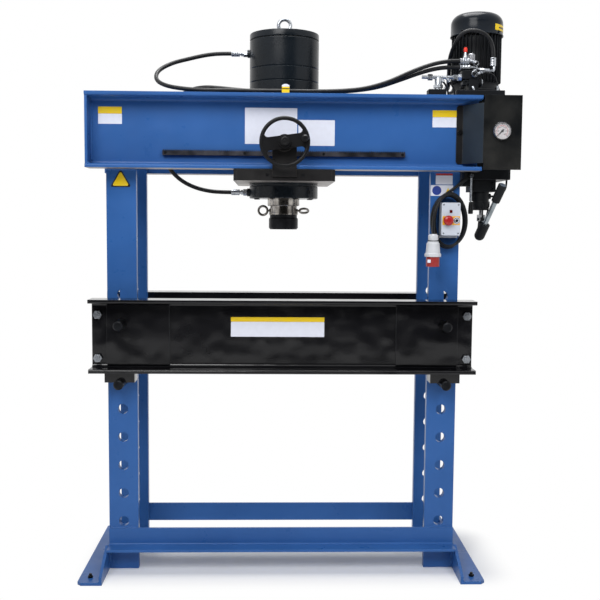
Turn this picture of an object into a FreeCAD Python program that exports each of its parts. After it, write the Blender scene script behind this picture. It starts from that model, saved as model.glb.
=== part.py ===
import FreeCAD, Part
import math
import os
from FreeCAD import Vector

# Hydraulic workshop press: H-frame of steel bars and channels, table on pins, cylinder that rolls
# along the upper beam, and an electric and hand power pack at the right end. Millimetres.
# +Z is up, the operator stands at -Y, X = 0 is the middle of the beam and Z = 0 the floor.

# ---- driving dimensions ----------------------------------------------------------------------
# posts
POST_CLEAR = 1212.0
POST_WIDTH = 122.0
POST_THICK = 30.0
FRAME_DEPTH = 336.0
POST_TOP = 1955.0
PIN_HOLE = 42.0
PIN_PITCH = 120.0
FIRST_HOLE_Z = 205.0
HOLE_COUNT = 9

# upper beam
BEAM_LENGTH = 1590.0
BEAM_BOTTOM = 1680.0
CHANNEL_HEIGHT = 300.0
CHANNEL_FLANGE = 100.0
CHANNEL_WEB = 10.0
CHANNEL_FLANGE_THICK = 16.0
CHANNEL_ROOT = 14.0
END_PLATE = 10.0

# table
TABLE_LENGTH = 1580.0
TABLE_CLEARANCE = 2.0
TABLE_HOLES_BELOW = 5
TABLE_HOLES_UP = 2
SADDLE_HEIGHT = 40.0
SADDLE_NOTCH = 15.0
DOUBLER_LENGTH = 258.0
DOUBLER_THICK = 12.0
DOUBLER_EDGE = 8.0
TIE_DIAMETER = 20.0
TIE_FROM_END = 24.0
TIE_FROM_FLANGE = 52.0
TIE_SPACER = 38.0
TIE_NUT = 32.0
TIE_NUT_HEIGHT = 16.0

# pins
PIN_DIAMETER = 40.0
PIN_FRONT_REACH = 120.0
PIN_REAR_REACH = 30.0
PIN_CHAMFER = 5.0

# base
FOOT_LENGTH = 716.0
FOOT_WIDTH = 100.0
FOOT_HEIGHT = 110.0
FOOT_TIP_HEIGHT = 34.0
FOOT_THICK = 12.0
FOOT_CORNER = 16.0
FOOT_HOLE = 18.0
FOOT_HOLE_FROM_END = 58.0
FOOT_HOLE_IN = 44.0
RAIL_LEG = 80.0
RAIL_THICK = 10.0
RAIL_BOTTOM = 97.0

# rack and pinion
GEAR_MODULE = 2.5
PINION_TEETH = 20
PRESSURE_ANGLE = 20.0
GEAR_BACKLASH = 0.25
RACK_TEETH = 126
RACK_HEIGHT = 22.5
RACK_THICK = 20.0
RACK_BOTTOM_Z = 1736.0
PINION_SIDE_GAP = 1.0
RACK_SCREW_HOLE = 7.0
RACK_SCREW_COUNT = 4

# carriage
CARRIAGE_LENGTH = 408.0
CARRIAGE_DEPTH = 556.0
CARRIAGE_THICK = 46.0
CARRIAGE_GAP = 2.0
CARRIAGE_CORNER = 14.0
HANGER_WIDTH = 97.0
HANGER_THICK = 12.0
HANGER_LAP = 30.0
HANGER_TOP_Z = 1765.0
BOSS_RADIUS = 34.0
ROLLER_DIAMETER = 40.0
ROLLER_WIDTH = 22.0
ROLLER_SPACING = 52.0
ROLLER_AXLE = 16.0
ROLLER_SIDE_GAP = 10.0
RUNNING_FIT = 0.05
ROLLER_LIFT = 0.05

# cylinder
BARREL_DIAMETER = 293.0
BARREL_WALL = 21.5
BARREL_BOTTOM = 1568.0
BARREL_TOP = 2236.0
CAP_HEIGHT = 30.0
CAP_NECK = 5.0
CAP_NECK_DIAMETER = 280.0
CAP_EDGE = 5.0
GLAND_HEIGHT = 60.0
SEAM_DEPTH = 3.0
SEAM_WIDTH = 6.0
SEAM_HEIGHTS = (2078.0, 2132.0)
RAM_DIAMETER = 137.0
RAM_SHOULDER_Z = 1537.0
NECK_DIAMETER = 116.0
NOSE_DIAMETER = 125.0
NOSE_TOP_Z = 1499.0
NOSE_TIP_Z = 1437.0
NOSE_CHAMFER = 6.0
NOSE_SPIGOT = 60.0
PISTON_HEIGHT = 70.0
PISTON_TOP_GAP = 20.0
PISTON_FIT = 0.1
PISTON_GROOVE = 8.0
PISTON_GROOVE_DEPTH = 5.0
EYE_OUTER = 66.0
EYE_INNER = 36.0
EYE_SHANK = 30.0
EYE_CENTRE_UP = 33.0
RAM_EYE_OUTER = 48.0
RAM_EYE_INNER = 28.0
RAM_EYE_OUT = 88.0
RAM_EYE_Z = 1517.0
RAM_EYE_SHANK = 14.0
PORT_UP_Z = 2160.0
PORT_LOW_Z = 1594.0
PORT_BOSS = 34.0
PORT_BOSS_LENGTH = 10.0
PORT_NUT = 27.0
PORT_NUT_LENGTH = 26.0
CRIMP_DIAMETER = 25.0
CRIMP_LENGTH = 34.0

# handwheel
WHEEL_RADIUS = 100.0
WHEEL_RIM = 16.0
WHEEL_PLATE = 9.0
WHEEL_Y = -338.0
WHEEL_SPOKE_HALF = 26.0
WHEEL_TILT = 8.0
HUB_DIAMETER = 48.0
HUB_LENGTH = 36.0
SHAFT_DIAMETER = 20.0
SPINNER_RADIUS_AT = 79.0
SPINNER_DIAMETER = 28.0
SPINNER_LENGTH = 44.0
SPINNER_SPINDLE = 8.0

# power pack
TANK_LEFT = 740.0
TANK_RIGHT = 940.0
TANK_BOTTOM = 1650.0
TANK_TOP = 2021.0
TANK_EDGE = 10.0
TOP_PLATE_THICK = 14.0
TOP_PLATE_LEFT = 700.0
TOP_PLATE_RIGHT = 946.0
TOP_PLATE_FRONT = -205.0
TOP_PLATE_REAR = 168.0
MOTOR_X = 820.0
MOTOR_FLANGE = 230.0
MOTOR_FLANGE_THICK = 16.0
MOTOR_BODY = 184.0
MOTOR_FIN_TIP = 210.0
MOTOR_FINS = 36
MOTOR_FIN_THICK = 3.0
MOTOR_BODY_HEIGHT = 217.0
MOTOR_WALL = 14.0
STATOR_BORE = 112.0
STATOR_HEIGHT = 110.0
AIR_GAP = 1.0
ROTOR_SHAFT = 24.0
COVER_DIAMETER = 219.0
COVER_LAP = 6.0
COVER_HEIGHT = 120.0
COVER_WALL = 3.0
COVER_ROUND = 52.0
FAN_DIAMETER = 176.0
FAN_BLADES = 7
FAN_HEIGHT = 26.0
TERMINAL_BOX = 90.0
TERMINAL_UP = 75.0
TERMINAL_OUT = 38.0
VALVE_BLOCK = (726.0, 806.0)
VALVE_BLOCK_HEIGHT = 57.0
VALVE_BLOCK_Y = (-196.0, -130.0)
KNOB_X = 768.0
KNOB_Y = -147.0
KNOB_DIAMETER = 30.0
KNOB_UP = 30.0
KNOB_HEIGHT = 42.0
FITTING_Y = -172.0
HOSE_DIAMETER = 17.0

# bent gauge panel
PANEL_THICK = 5.0
PANEL_TAB = 28.0
PANEL_FOLD = 734.0
PANEL_FRONT_LEFT = 798.0
PANEL_RIGHT = 950.0
PANEL_Y = -274.0
PANEL_TOP = 1980.0
PANEL_BOTTOM = 1684.0
PANEL_TROUGH_GAP = 15.0
GAUGE_FROM_EDGE = 81.0
GAUGE_FROM_TOP = 143.0
GAUGE_DIAMETER = 74.0
GAUGE_CASE = 64.0
GAUGE_DEPTH = 16.0
GAUGE_BACK = 30.0
GAUGE_WALL = 4.0
NEEDLE_LENGTH = 25.0
NEEDLE_REST = 225.0

# hand valve and hand pump under the tank
LEVER_X = 768.0
LEVER_Z = 1664.0
LEVER_BOSS = 26.0
LEVER_BOSS_OUT = 24.0
LEVER_ROD = 8.0
LEVER_GRIP_TOP = 1556.0
LEVER_GRIP_BOTTOM = 1507.0
PUMP_X = 828.0
PUMP_Y = -118.0
PUMP_TURN = 25.0
PUMP_HEAD_BOTTOM = 1600.0
PUMP_BARREL = 66.0
PUMP_BARREL_BOTTOM = 1524.0
FULCRUM_Z = 1487.0
FULCRUM_AHEAD = 24.0
PUMP_PIN = 8.0
PLUNGER_DIAMETER = 14.0
TUBE_DIAMETER = 21.0
TUBE_ANGLE = 55.0
TUBE_LENGTH = 222.0
GRIP_LENGTH = 76.0
GRIP_DIAMETER = 34.0
SOCKET_Z = 1440.0
SOCKET_DIAMETER = 44.0
SOCKET_LENGTH = 58.0

# switch box on the right post
SWITCH_X = 680.0
SWITCH_WIDTH = 78.0
SWITCH_BOTTOM = 1418.0
SWITCH_HEIGHT = 134.0
SWITCH_BASE = 18.0
SWITCH_DEPTH = 72.0
SWITCH_EDGE = 6.0
STOP_X = 667.0
START_X = 703.0
COIL_X = 678.0
BUTTON_Z = 1479.0
STOP_DIAMETER = 41.0
STOP_TRAVEL = 5.0
START_DIAMETER = 22.0
START_TRAVEL = 3.0

# cords
THIN_HOSE = 8.0
CABLE_DIAMETER = 12.0
COIL_HALF_WIDTH = 71.0
COIL_HALF_HEIGHT = 114.0
COIL_Z = 1474.0
COIL_TURNS = 3
COIL_STEP = 13.2
COIL_DRIFT = 4.0
COIL_LAST_DRIFT = 32.0
PLUG_DROP = 50.0
PLUG_TOP_DIAMETER = 38.0
PLUG_FLANGE = 66.0
PLUG_LENGTH = 132.0

# ---- worked out ------------------------------------------------------------------------------
POST_IN = POST_CLEAR / 2
POST_OUT = POST_IN + POST_WIDTH
POST_X = (POST_IN + POST_OUT) / 2
HALF_DEPTH = FRAME_DEPTH / 2
WEB_FRONT = HALF_DEPTH + CHANNEL_WEB
FLANGE_TIP = HALF_DEPTH + CHANNEL_FLANGE
BEAM_TOP = BEAM_BOTTOM + CHANNEL_HEIGHT
LOWER_PIN_Z = FIRST_HOLE_Z + TABLE_HOLES_BELOW * PIN_PITCH
UPPER_PIN_Z = LOWER_PIN_Z + TABLE_HOLES_UP * PIN_PITCH
TABLE_BOTTOM = LOWER_PIN_Z + PIN_DIAMETER / 2 - SADDLE_NOTCH + SADDLE_HEIGHT
TABLE_TOP = TABLE_BOTTOM + CHANNEL_HEIGHT
TABLE_WEB_IN = HALF_DEPTH + TABLE_CLEARANCE
PITCH_RADIUS = GEAR_MODULE * PINION_TEETH / 2
RACK_PITCH_Z = RACK_BOTTOM_Z + RACK_HEIGHT - GEAR_MODULE
WHEEL_Z = RACK_PITCH_Z + PITCH_RADIUS
PANEL_BACK = -PANEL_Y
BORE_DIAMETER = BARREL_DIAMETER - 2 * BARREL_WALL
PANEL_LEFT = PANEL_FOLD - PANEL_TAB
GAUGE_X = PANEL_RIGHT - GAUGE_FROM_EDGE
GAUGE_Z = PANEL_TOP - GAUGE_FROM_TOP
LID_TOP = TANK_TOP + TOP_PLATE_THICK
MOTOR_BODY_TOP = LID_TOP + MOTOR_BODY_HEIGHT
COVER_BOTTOM = MOTOR_BODY_TOP - COVER_LAP
COVER_TOP = COVER_BOTTOM + COVER_HEIGHT
VALVE_BLOCK_TOP = LID_TOP + VALVE_BLOCK_HEIGHT
KNOB_BOTTOM = VALVE_BLOCK_TOP + KNOB_UP
KNOB_TOP = KNOB_BOTTOM + KNOB_HEIGHT


# ---- small helpers ---------------------------------------------------------------------------
def block(x0, x1, y0, y1, z0, z1):
    low = Vector(min(x0, x1), min(y0, y1), min(z0, z1))
    return Part.makeBox(abs(x1 - x0), abs(y1 - y0), abs(z1 - z0), low)


def rod(diameter, length, start, direction):
    return Part.makeCylinder(diameter / 2, length, Vector(*start), Vector(*direction))


def prism(points, depth):
    """A closed outline of (x, y, z) points pushed along the depth vector."""
    corners = [Vector(*p) for p in points]
    wire = Part.makePolygon(corners + [corners[0]])
    return Part.Face(wire).extrude(Vector(*depth))


def turned(profile, centre, axis=(0, 0, 1)):
    """A lathe-turned solid from (radius, height) points, about an axis through centre."""
    wire = Part.makePolygon([Vector(r, 0, h) for r, h in profile + [profile[0]]])
    solid = Part.Face(wire).revolve(Vector(0, 0, 0), Vector(0, 0, 1), 360)
    solid.Placement = FreeCAD.Placement(
        Vector(*centre), FreeCAD.Rotation(Vector(0, 0, 1), Vector(*axis))
    )
    return solid


def hexagon(across_flats, length, start, direction):
    """A hexagonal nut or fitting body along a direction."""
    radius = across_flats / math.sqrt(3)
    points = [
        (radius * math.cos(math.radians(60 * k)), radius * math.sin(math.radians(60 * k)), 0)
        for k in range(6)
    ]
    solid = prism(points, (0, 0, length))
    solid.Placement = FreeCAD.Placement(
        Vector(*start), FreeCAD.Rotation(Vector(0, 0, 1), Vector(*direction))
    )
    return solid


def joined(shapes):
    """Welded or cast pieces as one solid."""
    result = shapes[0]
    for shape in shapes[1:]:
        result = result.fuse(shape)
    return result.removeSplitter()


def drilled(shape, holes):
    for hole in holes:
        shape = shape.cut(hole)
    return shape


def rounded(shape, radius, chosen):
    """Rounds the edges whose centre and direction pass the chosen test."""
    edges = []
    for edge in shape.Edges:
        if len(edge.Vertexes) < 2:
            continue
        way = edge.Vertexes[-1].Point - edge.Vertexes[0].Point
        if way.Length > 0 and chosen(edge.CenterOfMass, way.normalize()):
            edges.append(edge)
    return shape.makeFillet(radius, edges)


def both_sides(shape):
    """The shape and its mirror image across X = 0."""
    return [shape, shape.mirror(Vector(0, 0, 0), Vector(1, 0, 0))]


def front_to_rear(shape):
    return shape.mirror(Vector(0, 0, 0), Vector(0, 1, 0))


# ---- cords -----------------------------------------------------------------------------------
def round_hose(name, diameter, points):
    """A tube of straight runs joined by tangent arcs, each as large as its two runs allow."""
    route = [Vector(*p) for p in points]
    edges = []
    radii = []
    start = route[0]
    for before, corner, after in zip(route, route[1:], route[2:]):
        back = before - corner
        ahead = after - corner
        reach = 0.45 * min(back.Length, ahead.Length)
        back.normalize()
        ahead.normalize()
        turn = math.pi - back.getAngle(ahead)
        radii.append(reach / math.tan(turn / 2))
        enter = corner + back * reach
        leave = corner + ahead * reach
        inward = back + ahead
        inward.normalize()
        height = radii[-1] / math.cos(turn / 2) - radii[-1]
        middle = corner + inward * height
        edges.append(Part.LineSegment(start, enter).toShape())
        edges.append(Part.Arc(enter, middle, leave).toShape())
        start = leave
    edges.append(Part.LineSegment(start, route[-1]).toShape())
    return swept(name, diameter, edges, radii)


def swept(name, diameter, edges, radii):
    path = Part.Wire(edges)
    way = edges[0].tangentAt(edges[0].FirstParameter)
    ring = Part.Wire([Part.makeCircle(diameter / 2, edges[0].Vertexes[0].Point, way)])
    solid = path.makePipeShell([ring], True, False)
    plain = math.pi * diameter ** 2 / 4 * path.Length
    print(
        name,
        "length %.0f mm, least radius %.0f mm, volume / (section x length) %.4f, radii"
        % (path.Length, min(radii), solid.Volume / plain),
        [round(r) for r in radii],
    )
    return solid


def two_arcs(start, start_way, end, end_way):
    """A biarc: two arcs that leave start and reach end along the given directions."""
    span = end - start
    both = start_way + end_way
    curve = 2 * (1 - start_way.dot(end_way))
    along = span.dot(both)
    reach = (-along + math.sqrt(along * along + curve * span.dot(span))) / curve
    meet = (start + end + (start_way - end_way) * reach) * 0.5
    return [arc_leaving(start, start_way, meet), arc_reaching(meet, end, end_way)]


def arc_leaving(start, way, end):
    chord = end - start
    normal = chord - way * (chord.dot(chord) / chord.dot(way))
    if normal.Length < 1e-6:
        return Part.LineSegment(start, end).toShape()
    side = chord - way * chord.dot(way)
    radius = chord.dot(chord) / (2 * side.Length)
    side.normalize()
    centre = start + side * radius
    out = (start + end) * 0.5 - centre
    if chord.dot(way) < 0:
        out = out * -1
    out.normalize()
    return Part.Arc(start, centre + out * radius, end).toShape()


def arc_reaching(start, end, way):
    turned_round = arc_leaving(end, way * -1, start)
    middle = turned_round.valueAt(
        (turned_round.FirstParameter + turned_round.LastParameter) / 2
    )
    return Part.Arc(start, middle, end).toShape()


# ---- frame -----------------------------------------------------------------------------------
def channel(length, inner_y, bottom):
    """Front channel: web behind, flanges pointing to the operator, rounded roots and toes."""
    web_y = -(inner_y + CHANNEL_WEB)
    tip_y = -(inner_y + CHANNEL_FLANGE)
    top = bottom + CHANNEL_HEIGHT
    low = bottom + CHANNEL_FLANGE_THICK
    high = top - CHANNEL_FLANGE_THICK
    half = length / 2
    outline = [
        (-half, -inner_y, bottom),
        (-half, tip_y, bottom),
        (-half, tip_y, low),
        (-half, web_y, low),
        (-half, web_y, high),
        (-half, tip_y, high),
        (-half, tip_y, top),
        (-half, -inner_y, top),
    ]
    solid = prism(outline, (length, 0, 0))

    def roots(at, way):
        return abs(way.x) > 0.9 and abs(at.y - web_y) < 0.1 and low - 1 < at.z < high + 1

    def toes(at, way):
        return abs(way.x) > 0.9 and abs(at.y - tip_y) < 0.1 and low - 1 < at.z < high + 1

    solid = rounded(solid, CHANNEL_ROOT, roots)
    return rounded(solid, CHANNEL_FLANGE_THICK / 2, toes)


def beam_channel():
    solid = channel(BEAM_LENGTH, HALF_DEPTH, BEAM_BOTTOM)
    left = -BEAM_LENGTH / 2
    plate = block(
        left, left + END_PLATE, -WEB_FRONT, -(FLANGE_TIP - 6),
        BEAM_BOTTOM + CHANNEL_FLANGE_THICK, BEAM_TOP - CHANNEL_FLANGE_THICK,
    )
    return joined([solid, plate])


def posts():
    """Two flat bars of the left side, drilled for the table pins."""
    bars = []
    for near in (-HALF_DEPTH, HALF_DEPTH - POST_THICK):
        bar = block(-POST_OUT, -POST_IN, near, near + POST_THICK, 0, POST_TOP)
        holes = [
            rod(PIN_HOLE, POST_THICK, (-POST_X, near, FIRST_HOLE_Z + k * PIN_PITCH), (0, 1, 0))
            for k in range(HOLE_COUNT)
        ]
        bars.append(drilled(bar, holes))
    return bars


def foot():
    """Left foot, an angle laid front to back, its upright leg cut down towards the ends."""
    half = FOOT_LENGTH / 2
    upright = prism(
        [
            (-POST_OUT, -half, 0),
            (-POST_OUT, -half, FOOT_TIP_HEIGHT),
            (-POST_OUT, -HALF_DEPTH - POST_THICK, FOOT_HEIGHT),
            (-POST_OUT, HALF_DEPTH + POST_THICK, FOOT_HEIGHT),
            (-POST_OUT, half, FOOT_TIP_HEIGHT),
            (-POST_OUT, half, 0),
        ],
        (-FOOT_THICK, 0, 0),
    )
    far = -POST_OUT - FOOT_WIDTH
    sole = prism(
        [
            (-POST_OUT, -half, 0),
            (far + FOOT_CORNER, -half, 0),
            (far, -half + FOOT_CORNER, 0),
            (far, half - FOOT_CORNER, 0),
            (far + FOOT_CORNER, half, 0),
            (-POST_OUT, half, 0),
        ],
        (0, 0, FOOT_THICK),
    )
    solid = joined([upright, sole])

    def inner_root(at, way):
        return (
            abs(way.y) > 0.9
            and abs(at.x + POST_OUT + FOOT_THICK) < 0.1
            and abs(at.z - FOOT_THICK) < 0.1
        )

    solid = rounded(solid, FOOT_THICK * 0.7, inner_root)
    hole_y = half - FOOT_HOLE_FROM_END
    holes = [
        rod(FOOT_HOLE, FOOT_THICK, (far + FOOT_HOLE_IN, y, 0), (0, 0, 1))
        for y in (-hole_y, hole_y)
    ]
    return drilled(solid, holes)


def base_rail():
    """Front rail, an angle across the posts: upright leg on them, the other leg forward."""
    outer = -HALF_DEPTH - RAIL_THICK
    tip = -HALF_DEPTH - RAIL_LEG
    outline = [
        (-POST_OUT, -HALF_DEPTH, RAIL_BOTTOM),
        (-POST_OUT, tip, RAIL_BOTTOM),
        (-POST_OUT, tip, RAIL_BOTTOM + RAIL_THICK),
        (-POST_OUT, outer, RAIL_BOTTOM + RAIL_THICK),
        (-POST_OUT, outer, RAIL_BOTTOM + RAIL_LEG),
        (-POST_OUT, -HALF_DEPTH, RAIL_BOTTOM + RAIL_LEG),
    ]
    solid = prism(outline, (2 * POST_OUT, 0, 0))

    def root(at, way):
        return (
            abs(way.x) > 0.9
            and abs(at.y - outer) < 0.1
            and abs(at.z - RAIL_BOTTOM - RAIL_THICK) < 0.1
        )

    return rounded(solid, RAIL_THICK * 0.8, root)


# ---- table -----------------------------------------------------------------------------------
def tie_places():
    x = TABLE_LENGTH / 2 - TIE_FROM_END
    low = TABLE_BOTTOM + TIE_FROM_FLANGE
    high = TABLE_TOP - TIE_FROM_FLANGE - CHANNEL_FLANGE_THICK
    return [(side * x, z) for side in (-1, 1) for z in (low, high)]


def table_channel():
    solid = channel(TABLE_LENGTH, TABLE_WEB_IN, TABLE_BOTTOM)
    web = TABLE_WEB_IN + CHANNEL_WEB
    doubler = block(
        -POST_OUT, -POST_OUT + DOUBLER_LENGTH, -web, -web - DOUBLER_THICK,
        TABLE_BOTTOM + CHANNEL_FLANGE_THICK + DOUBLER_EDGE + 2,
        TABLE_TOP - CHANNEL_FLANGE_THICK - DOUBLER_EDGE - 2,
    )
    solid = joined([solid] + both_sides(doubler))
    depth = CHANNEL_WEB + DOUBLER_THICK
    start = -(TABLE_WEB_IN + depth)
    holes = [
        rod(PIN_HOLE, depth, (side * POST_X, start, UPPER_PIN_Z), (0, 1, 0))
        for side in (-1, 1)
    ]
    holes += [rod(TIE_DIAMETER, depth, (x, start, z), (0, 1, 0)) for x, z in tie_places()]
    return drilled(solid, holes)


def table_ties():
    """Studs with a spacer tube between the webs and a nut outside each web."""
    parts = []
    outside = TABLE_WEB_IN + CHANNEL_WEB
    reach = outside + TIE_NUT_HEIGHT + 6
    for x, z in tie_places():
        parts.append(rod(TIE_DIAMETER, 2 * reach, (x, -reach, z), (0, 1, 0)))
        spacer = rod(TIE_SPACER, 2 * TABLE_WEB_IN, (x, -TABLE_WEB_IN, z), (0, 1, 0))
        inside = rod(TIE_DIAMETER, 2 * TABLE_WEB_IN, (x, -TABLE_WEB_IN, z), (0, 1, 0))
        parts.append(spacer.cut(inside))
        for side in (-1, 1):
            nut = hexagon(TIE_NUT, TIE_NUT_HEIGHT, (x, side * outside, z), (0, side, 0))
            parts.append(nut.cut(rod(TIE_DIAMETER, 2 * reach, (x, -reach, z), (0, 1, 0))))
    return parts


def saddle_blocks():
    """Blocks under the table's flanges, notched to sit on the lower pins."""
    parts = []
    for side in (-1, 1):
        x = side * POST_X
        for way in (-1, 1):
            solid = block(
                x - POST_WIDTH / 2, x + POST_WIDTH / 2,
                way * TABLE_WEB_IN, way * (FLANGE_TIP - 20),
                TABLE_BOTTOM - SADDLE_HEIGHT, TABLE_BOTTOM,
            )
            notch = rod(
                PIN_DIAMETER + 2 * RUNNING_FIT, 2 * FLANGE_TIP, (x, -FLANGE_TIP, LOWER_PIN_Z), (0, 1, 0)
            )
            parts.append(solid.cut(notch))
    return parts


def pin(x, z):
    rear = TABLE_WEB_IN + CHANNEL_WEB + DOUBLER_THICK + PIN_REAR_REACH
    front = HALF_DEPTH + PIN_FRONT_REACH
    r = PIN_DIAMETER / 2
    c = PIN_CHAMFER
    length = rear + front
    profile = [(0, 0), (r - c, 0), (r, c), (r, length - c), (r - c, length), (0, length)]
    return turned(profile, (x, -front, z), (0, 1, 0))


# ---- rack, pinion and handwheel --------------------------------------------------------------
def rack():
    """Straight rack with its teeth up, a gap between teeth at X = 0, on the front web."""
    pitch = math.pi * GEAR_MODULE
    slope = math.tan(math.radians(PRESSURE_ANGLE))
    top_half = pitch / 4 - GEAR_BACKLASH / 2 - GEAR_MODULE * slope
    root_drop = 1.25 * GEAR_MODULE
    foot_half = pitch / 4 - GEAR_BACKLASH / 2 + root_drop * slope
    half = RACK_TEETH * pitch / 2
    y = -WEB_FRONT
    outline = [(-half, y, RACK_BOTTOM_Z), (-half, y, RACK_PITCH_Z - root_drop)]
    for k in range(RACK_TEETH):
        middle = -half + (k + 0.5) * pitch
        outline.append((middle - foot_half, y, RACK_PITCH_Z - root_drop))
        outline.append((middle - top_half, y, RACK_PITCH_Z + GEAR_MODULE))
        outline.append((middle + top_half, y, RACK_PITCH_Z + GEAR_MODULE))
        outline.append((middle + foot_half, y, RACK_PITCH_Z - root_drop))
    outline.append((half, y, RACK_PITCH_Z - root_drop))
    outline.append((half, y, RACK_BOTTOM_Z))
    solid = prism(outline, (0, -RACK_THICK, 0))
    spacing = (2 * half - 24) / (RACK_SCREW_COUNT - 1)
    z = RACK_BOTTOM_Z + RACK_HEIGHT * 0.4
    holes = [
        rod(RACK_SCREW_HOLE, RACK_THICK, (-half + 12 + k * spacing, y, z), (0, -1, 0))
        for k in range(RACK_SCREW_COUNT)
    ]
    return drilled(solid, holes)


def pinion_outline():
    """Involute teeth, one tooth pointing straight down into the rack's gap."""
    base = PITCH_RADIUS * math.cos(math.radians(PRESSURE_ANGLE))
    tip = PITCH_RADIUS + GEAR_MODULE
    root = PITCH_RADIUS - 1.25 * GEAR_MODULE

    def opening(radius):
        angle = math.acos(min(1.0, base / radius))
        return math.tan(angle) - angle

    thick = math.pi * GEAR_MODULE / 2 - GEAR_BACKLASH
    half_at_pitch = thick / (2 * PITCH_RADIUS)
    flank = []
    for radius in (base, (base + PITCH_RADIUS) / 2, PITCH_RADIUS, (PITCH_RADIUS + tip) / 2, tip):
        half = half_at_pitch + opening(PITCH_RADIUS) - opening(radius)
        flank.append((radius, half))
    points = []
    for k in range(PINION_TEETH):
        middle = -math.pi / 2 + 2 * math.pi * k / PINION_TEETH
        tooth = [(root, -flank[0][1])] + [(r, -h) for r, h in flank]
        tooth += [(r, h) for r, h in reversed(flank)] + [(root, flank[0][1])]
        for radius, off in tooth:
            angle = middle + off
            points.append((radius * math.cos(angle), radius * math.sin(angle)))
    return points


def pinion_shaft():
    back = -(WEB_FRONT + PINION_SIDE_GAP)
    outline = [(x, back, WHEEL_Z + z) for x, z in pinion_outline()]
    gear = prism(outline, (0, -RACK_THICK, 0))
    front = WHEEL_Y - HUB_LENGTH / 2
    shaft = rod(SHAFT_DIAMETER, back - RACK_THICK - front, (0, back - RACK_THICK, WHEEL_Z), (0, -1, 0))
    return joined([gear, shaft])


def wheel_gap(half_height, rim_inner, sign):
    """One of the two D-shaped openings of the wheel's plate, before the hub is put back."""
    depth = WHEEL_PLATE * 4
    disc = rod(2 * rim_inner, depth, (0, WHEEL_Y + depth / 2, WHEEL_Z), (0, -1, 0))
    half = block(
        -rim_inner, rim_inner, WHEEL_Y - depth, WHEEL_Y + depth,
        WHEEL_Z + sign * half_height, WHEEL_Z + sign * 2 * rim_inner,
    )
    gap = disc.common(half)

    def corners(at, way):
        return abs(way.y) > 0.9 and abs(at.z - WHEEL_Z - sign * half_height) < 1

    gap = rounded(gap, 14, corners)
    return gap


def handwheel():
    """Cast wheel: round rim, one broad spoke across, hub, and a spindle for the spinner."""
    ring_radius = WHEEL_RADIUS - WHEEL_RIM / 2
    rim = Part.makeTorus(
        ring_radius, WHEEL_RIM / 2, Vector(0, WHEEL_Y, WHEEL_Z), Vector(0, 1, 0)
    )
    plate = rod(2 * ring_radius, WHEEL_PLATE, (0, WHEEL_Y + WHEEL_PLATE / 2, WHEEL_Z), (0, -1, 0))
    inner = ring_radius - WHEEL_RIM * 0.3
    gaps = [wheel_gap(WHEEL_SPOKE_HALF, inner, sign) for sign in (-1, 1)]
    plate = drilled(plate, gaps)
    hub = rod(HUB_DIAMETER, HUB_LENGTH, (0, WHEEL_Y + HUB_LENGTH / 2, WHEEL_Z), (0, -1, 0))
    spinner_back = WHEEL_Y - WHEEL_PLATE / 2
    seat = rod(20, WHEEL_PLATE + 4, (SPINNER_RADIUS_AT, WHEEL_Y + WHEEL_PLATE / 2, WHEEL_Z), (0, -1, 0))
    spindle = rod(
        SPINNER_SPINDLE, SPINNER_LENGTH - 4, (SPINNER_RADIUS_AT, spinner_back, WHEEL_Z), (0, -1, 0)
    )
    solid = joined([rim, plate, hub, seat, spindle])
    bore = rod(SHAFT_DIAMETER, HUB_LENGTH, (0, WHEEL_Y + HUB_LENGTH / 2, WHEEL_Z), (0, -1, 0))
    solid = solid.cut(bore)
    solid.rotate(Vector(0, WHEEL_Y, WHEEL_Z), Vector(0, 1, 0), -WHEEL_TILT)
    return solid


def spinner_place():
    angle = math.radians(WHEEL_TILT)
    return (
        SPINNER_RADIUS_AT * math.cos(angle),
        WHEEL_Y - WHEEL_PLATE / 2 - 5,
        WHEEL_Z + SPINNER_RADIUS_AT * math.sin(angle),
    )


def spinner_knob():
    r = SPINNER_DIAMETER / 2
    hole = SPINNER_SPINDLE / 2 + RUNNING_FIT
    long = SPINNER_LENGTH
    profile = [
        (hole, 0), (r * 0.7, 0), (r * 0.8, long * 0.2), (r, long * 0.7), (r * 0.95, long * 0.88),
        (r * 0.6, long), (0, long), (0, long - 4), (hole, long - 4),
    ]
    return turned(profile, spinner_place(), (0, -1, 0))


# ---- carriage and cylinder -------------------------------------------------------------------
def carriage_plate():
    top = BEAM_BOTTOM - CARRIAGE_GAP
    x = CARRIAGE_LENGTH / 2
    y = CARRIAGE_DEPTH / 2
    c = CARRIAGE_CORNER
    outline = [
        (-x, -y + c, top), (-x + c, -y, top), (x - c, -y, top), (x, -y + c, top),
        (x, y - c, top), (x - c, y, top), (-x + c, y, top), (-x, y - c, top),
    ]
    plate = prism(outline, (0, 0, -CARRIAGE_THICK))
    return plate.cut(rod(BARREL_DIAMETER, CARRIAGE_THICK, (0, 0, top - CARRIAGE_THICK), (0, 0, 1)))


def roller_places():
    """X, inner Y and height of the four track rollers, front ones first."""
    z = BEAM_BOTTOM + CHANNEL_FLANGE_THICK + ROLLER_DIAMETER / 2 + ROLLER_LIFT
    y = CARRIAGE_DEPTH / 2 - ROLLER_SIDE_GAP
    return [(side * ROLLER_SPACING / 2, way * y, z) for way in (-1, 1) for side in (-1, 1)]


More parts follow.
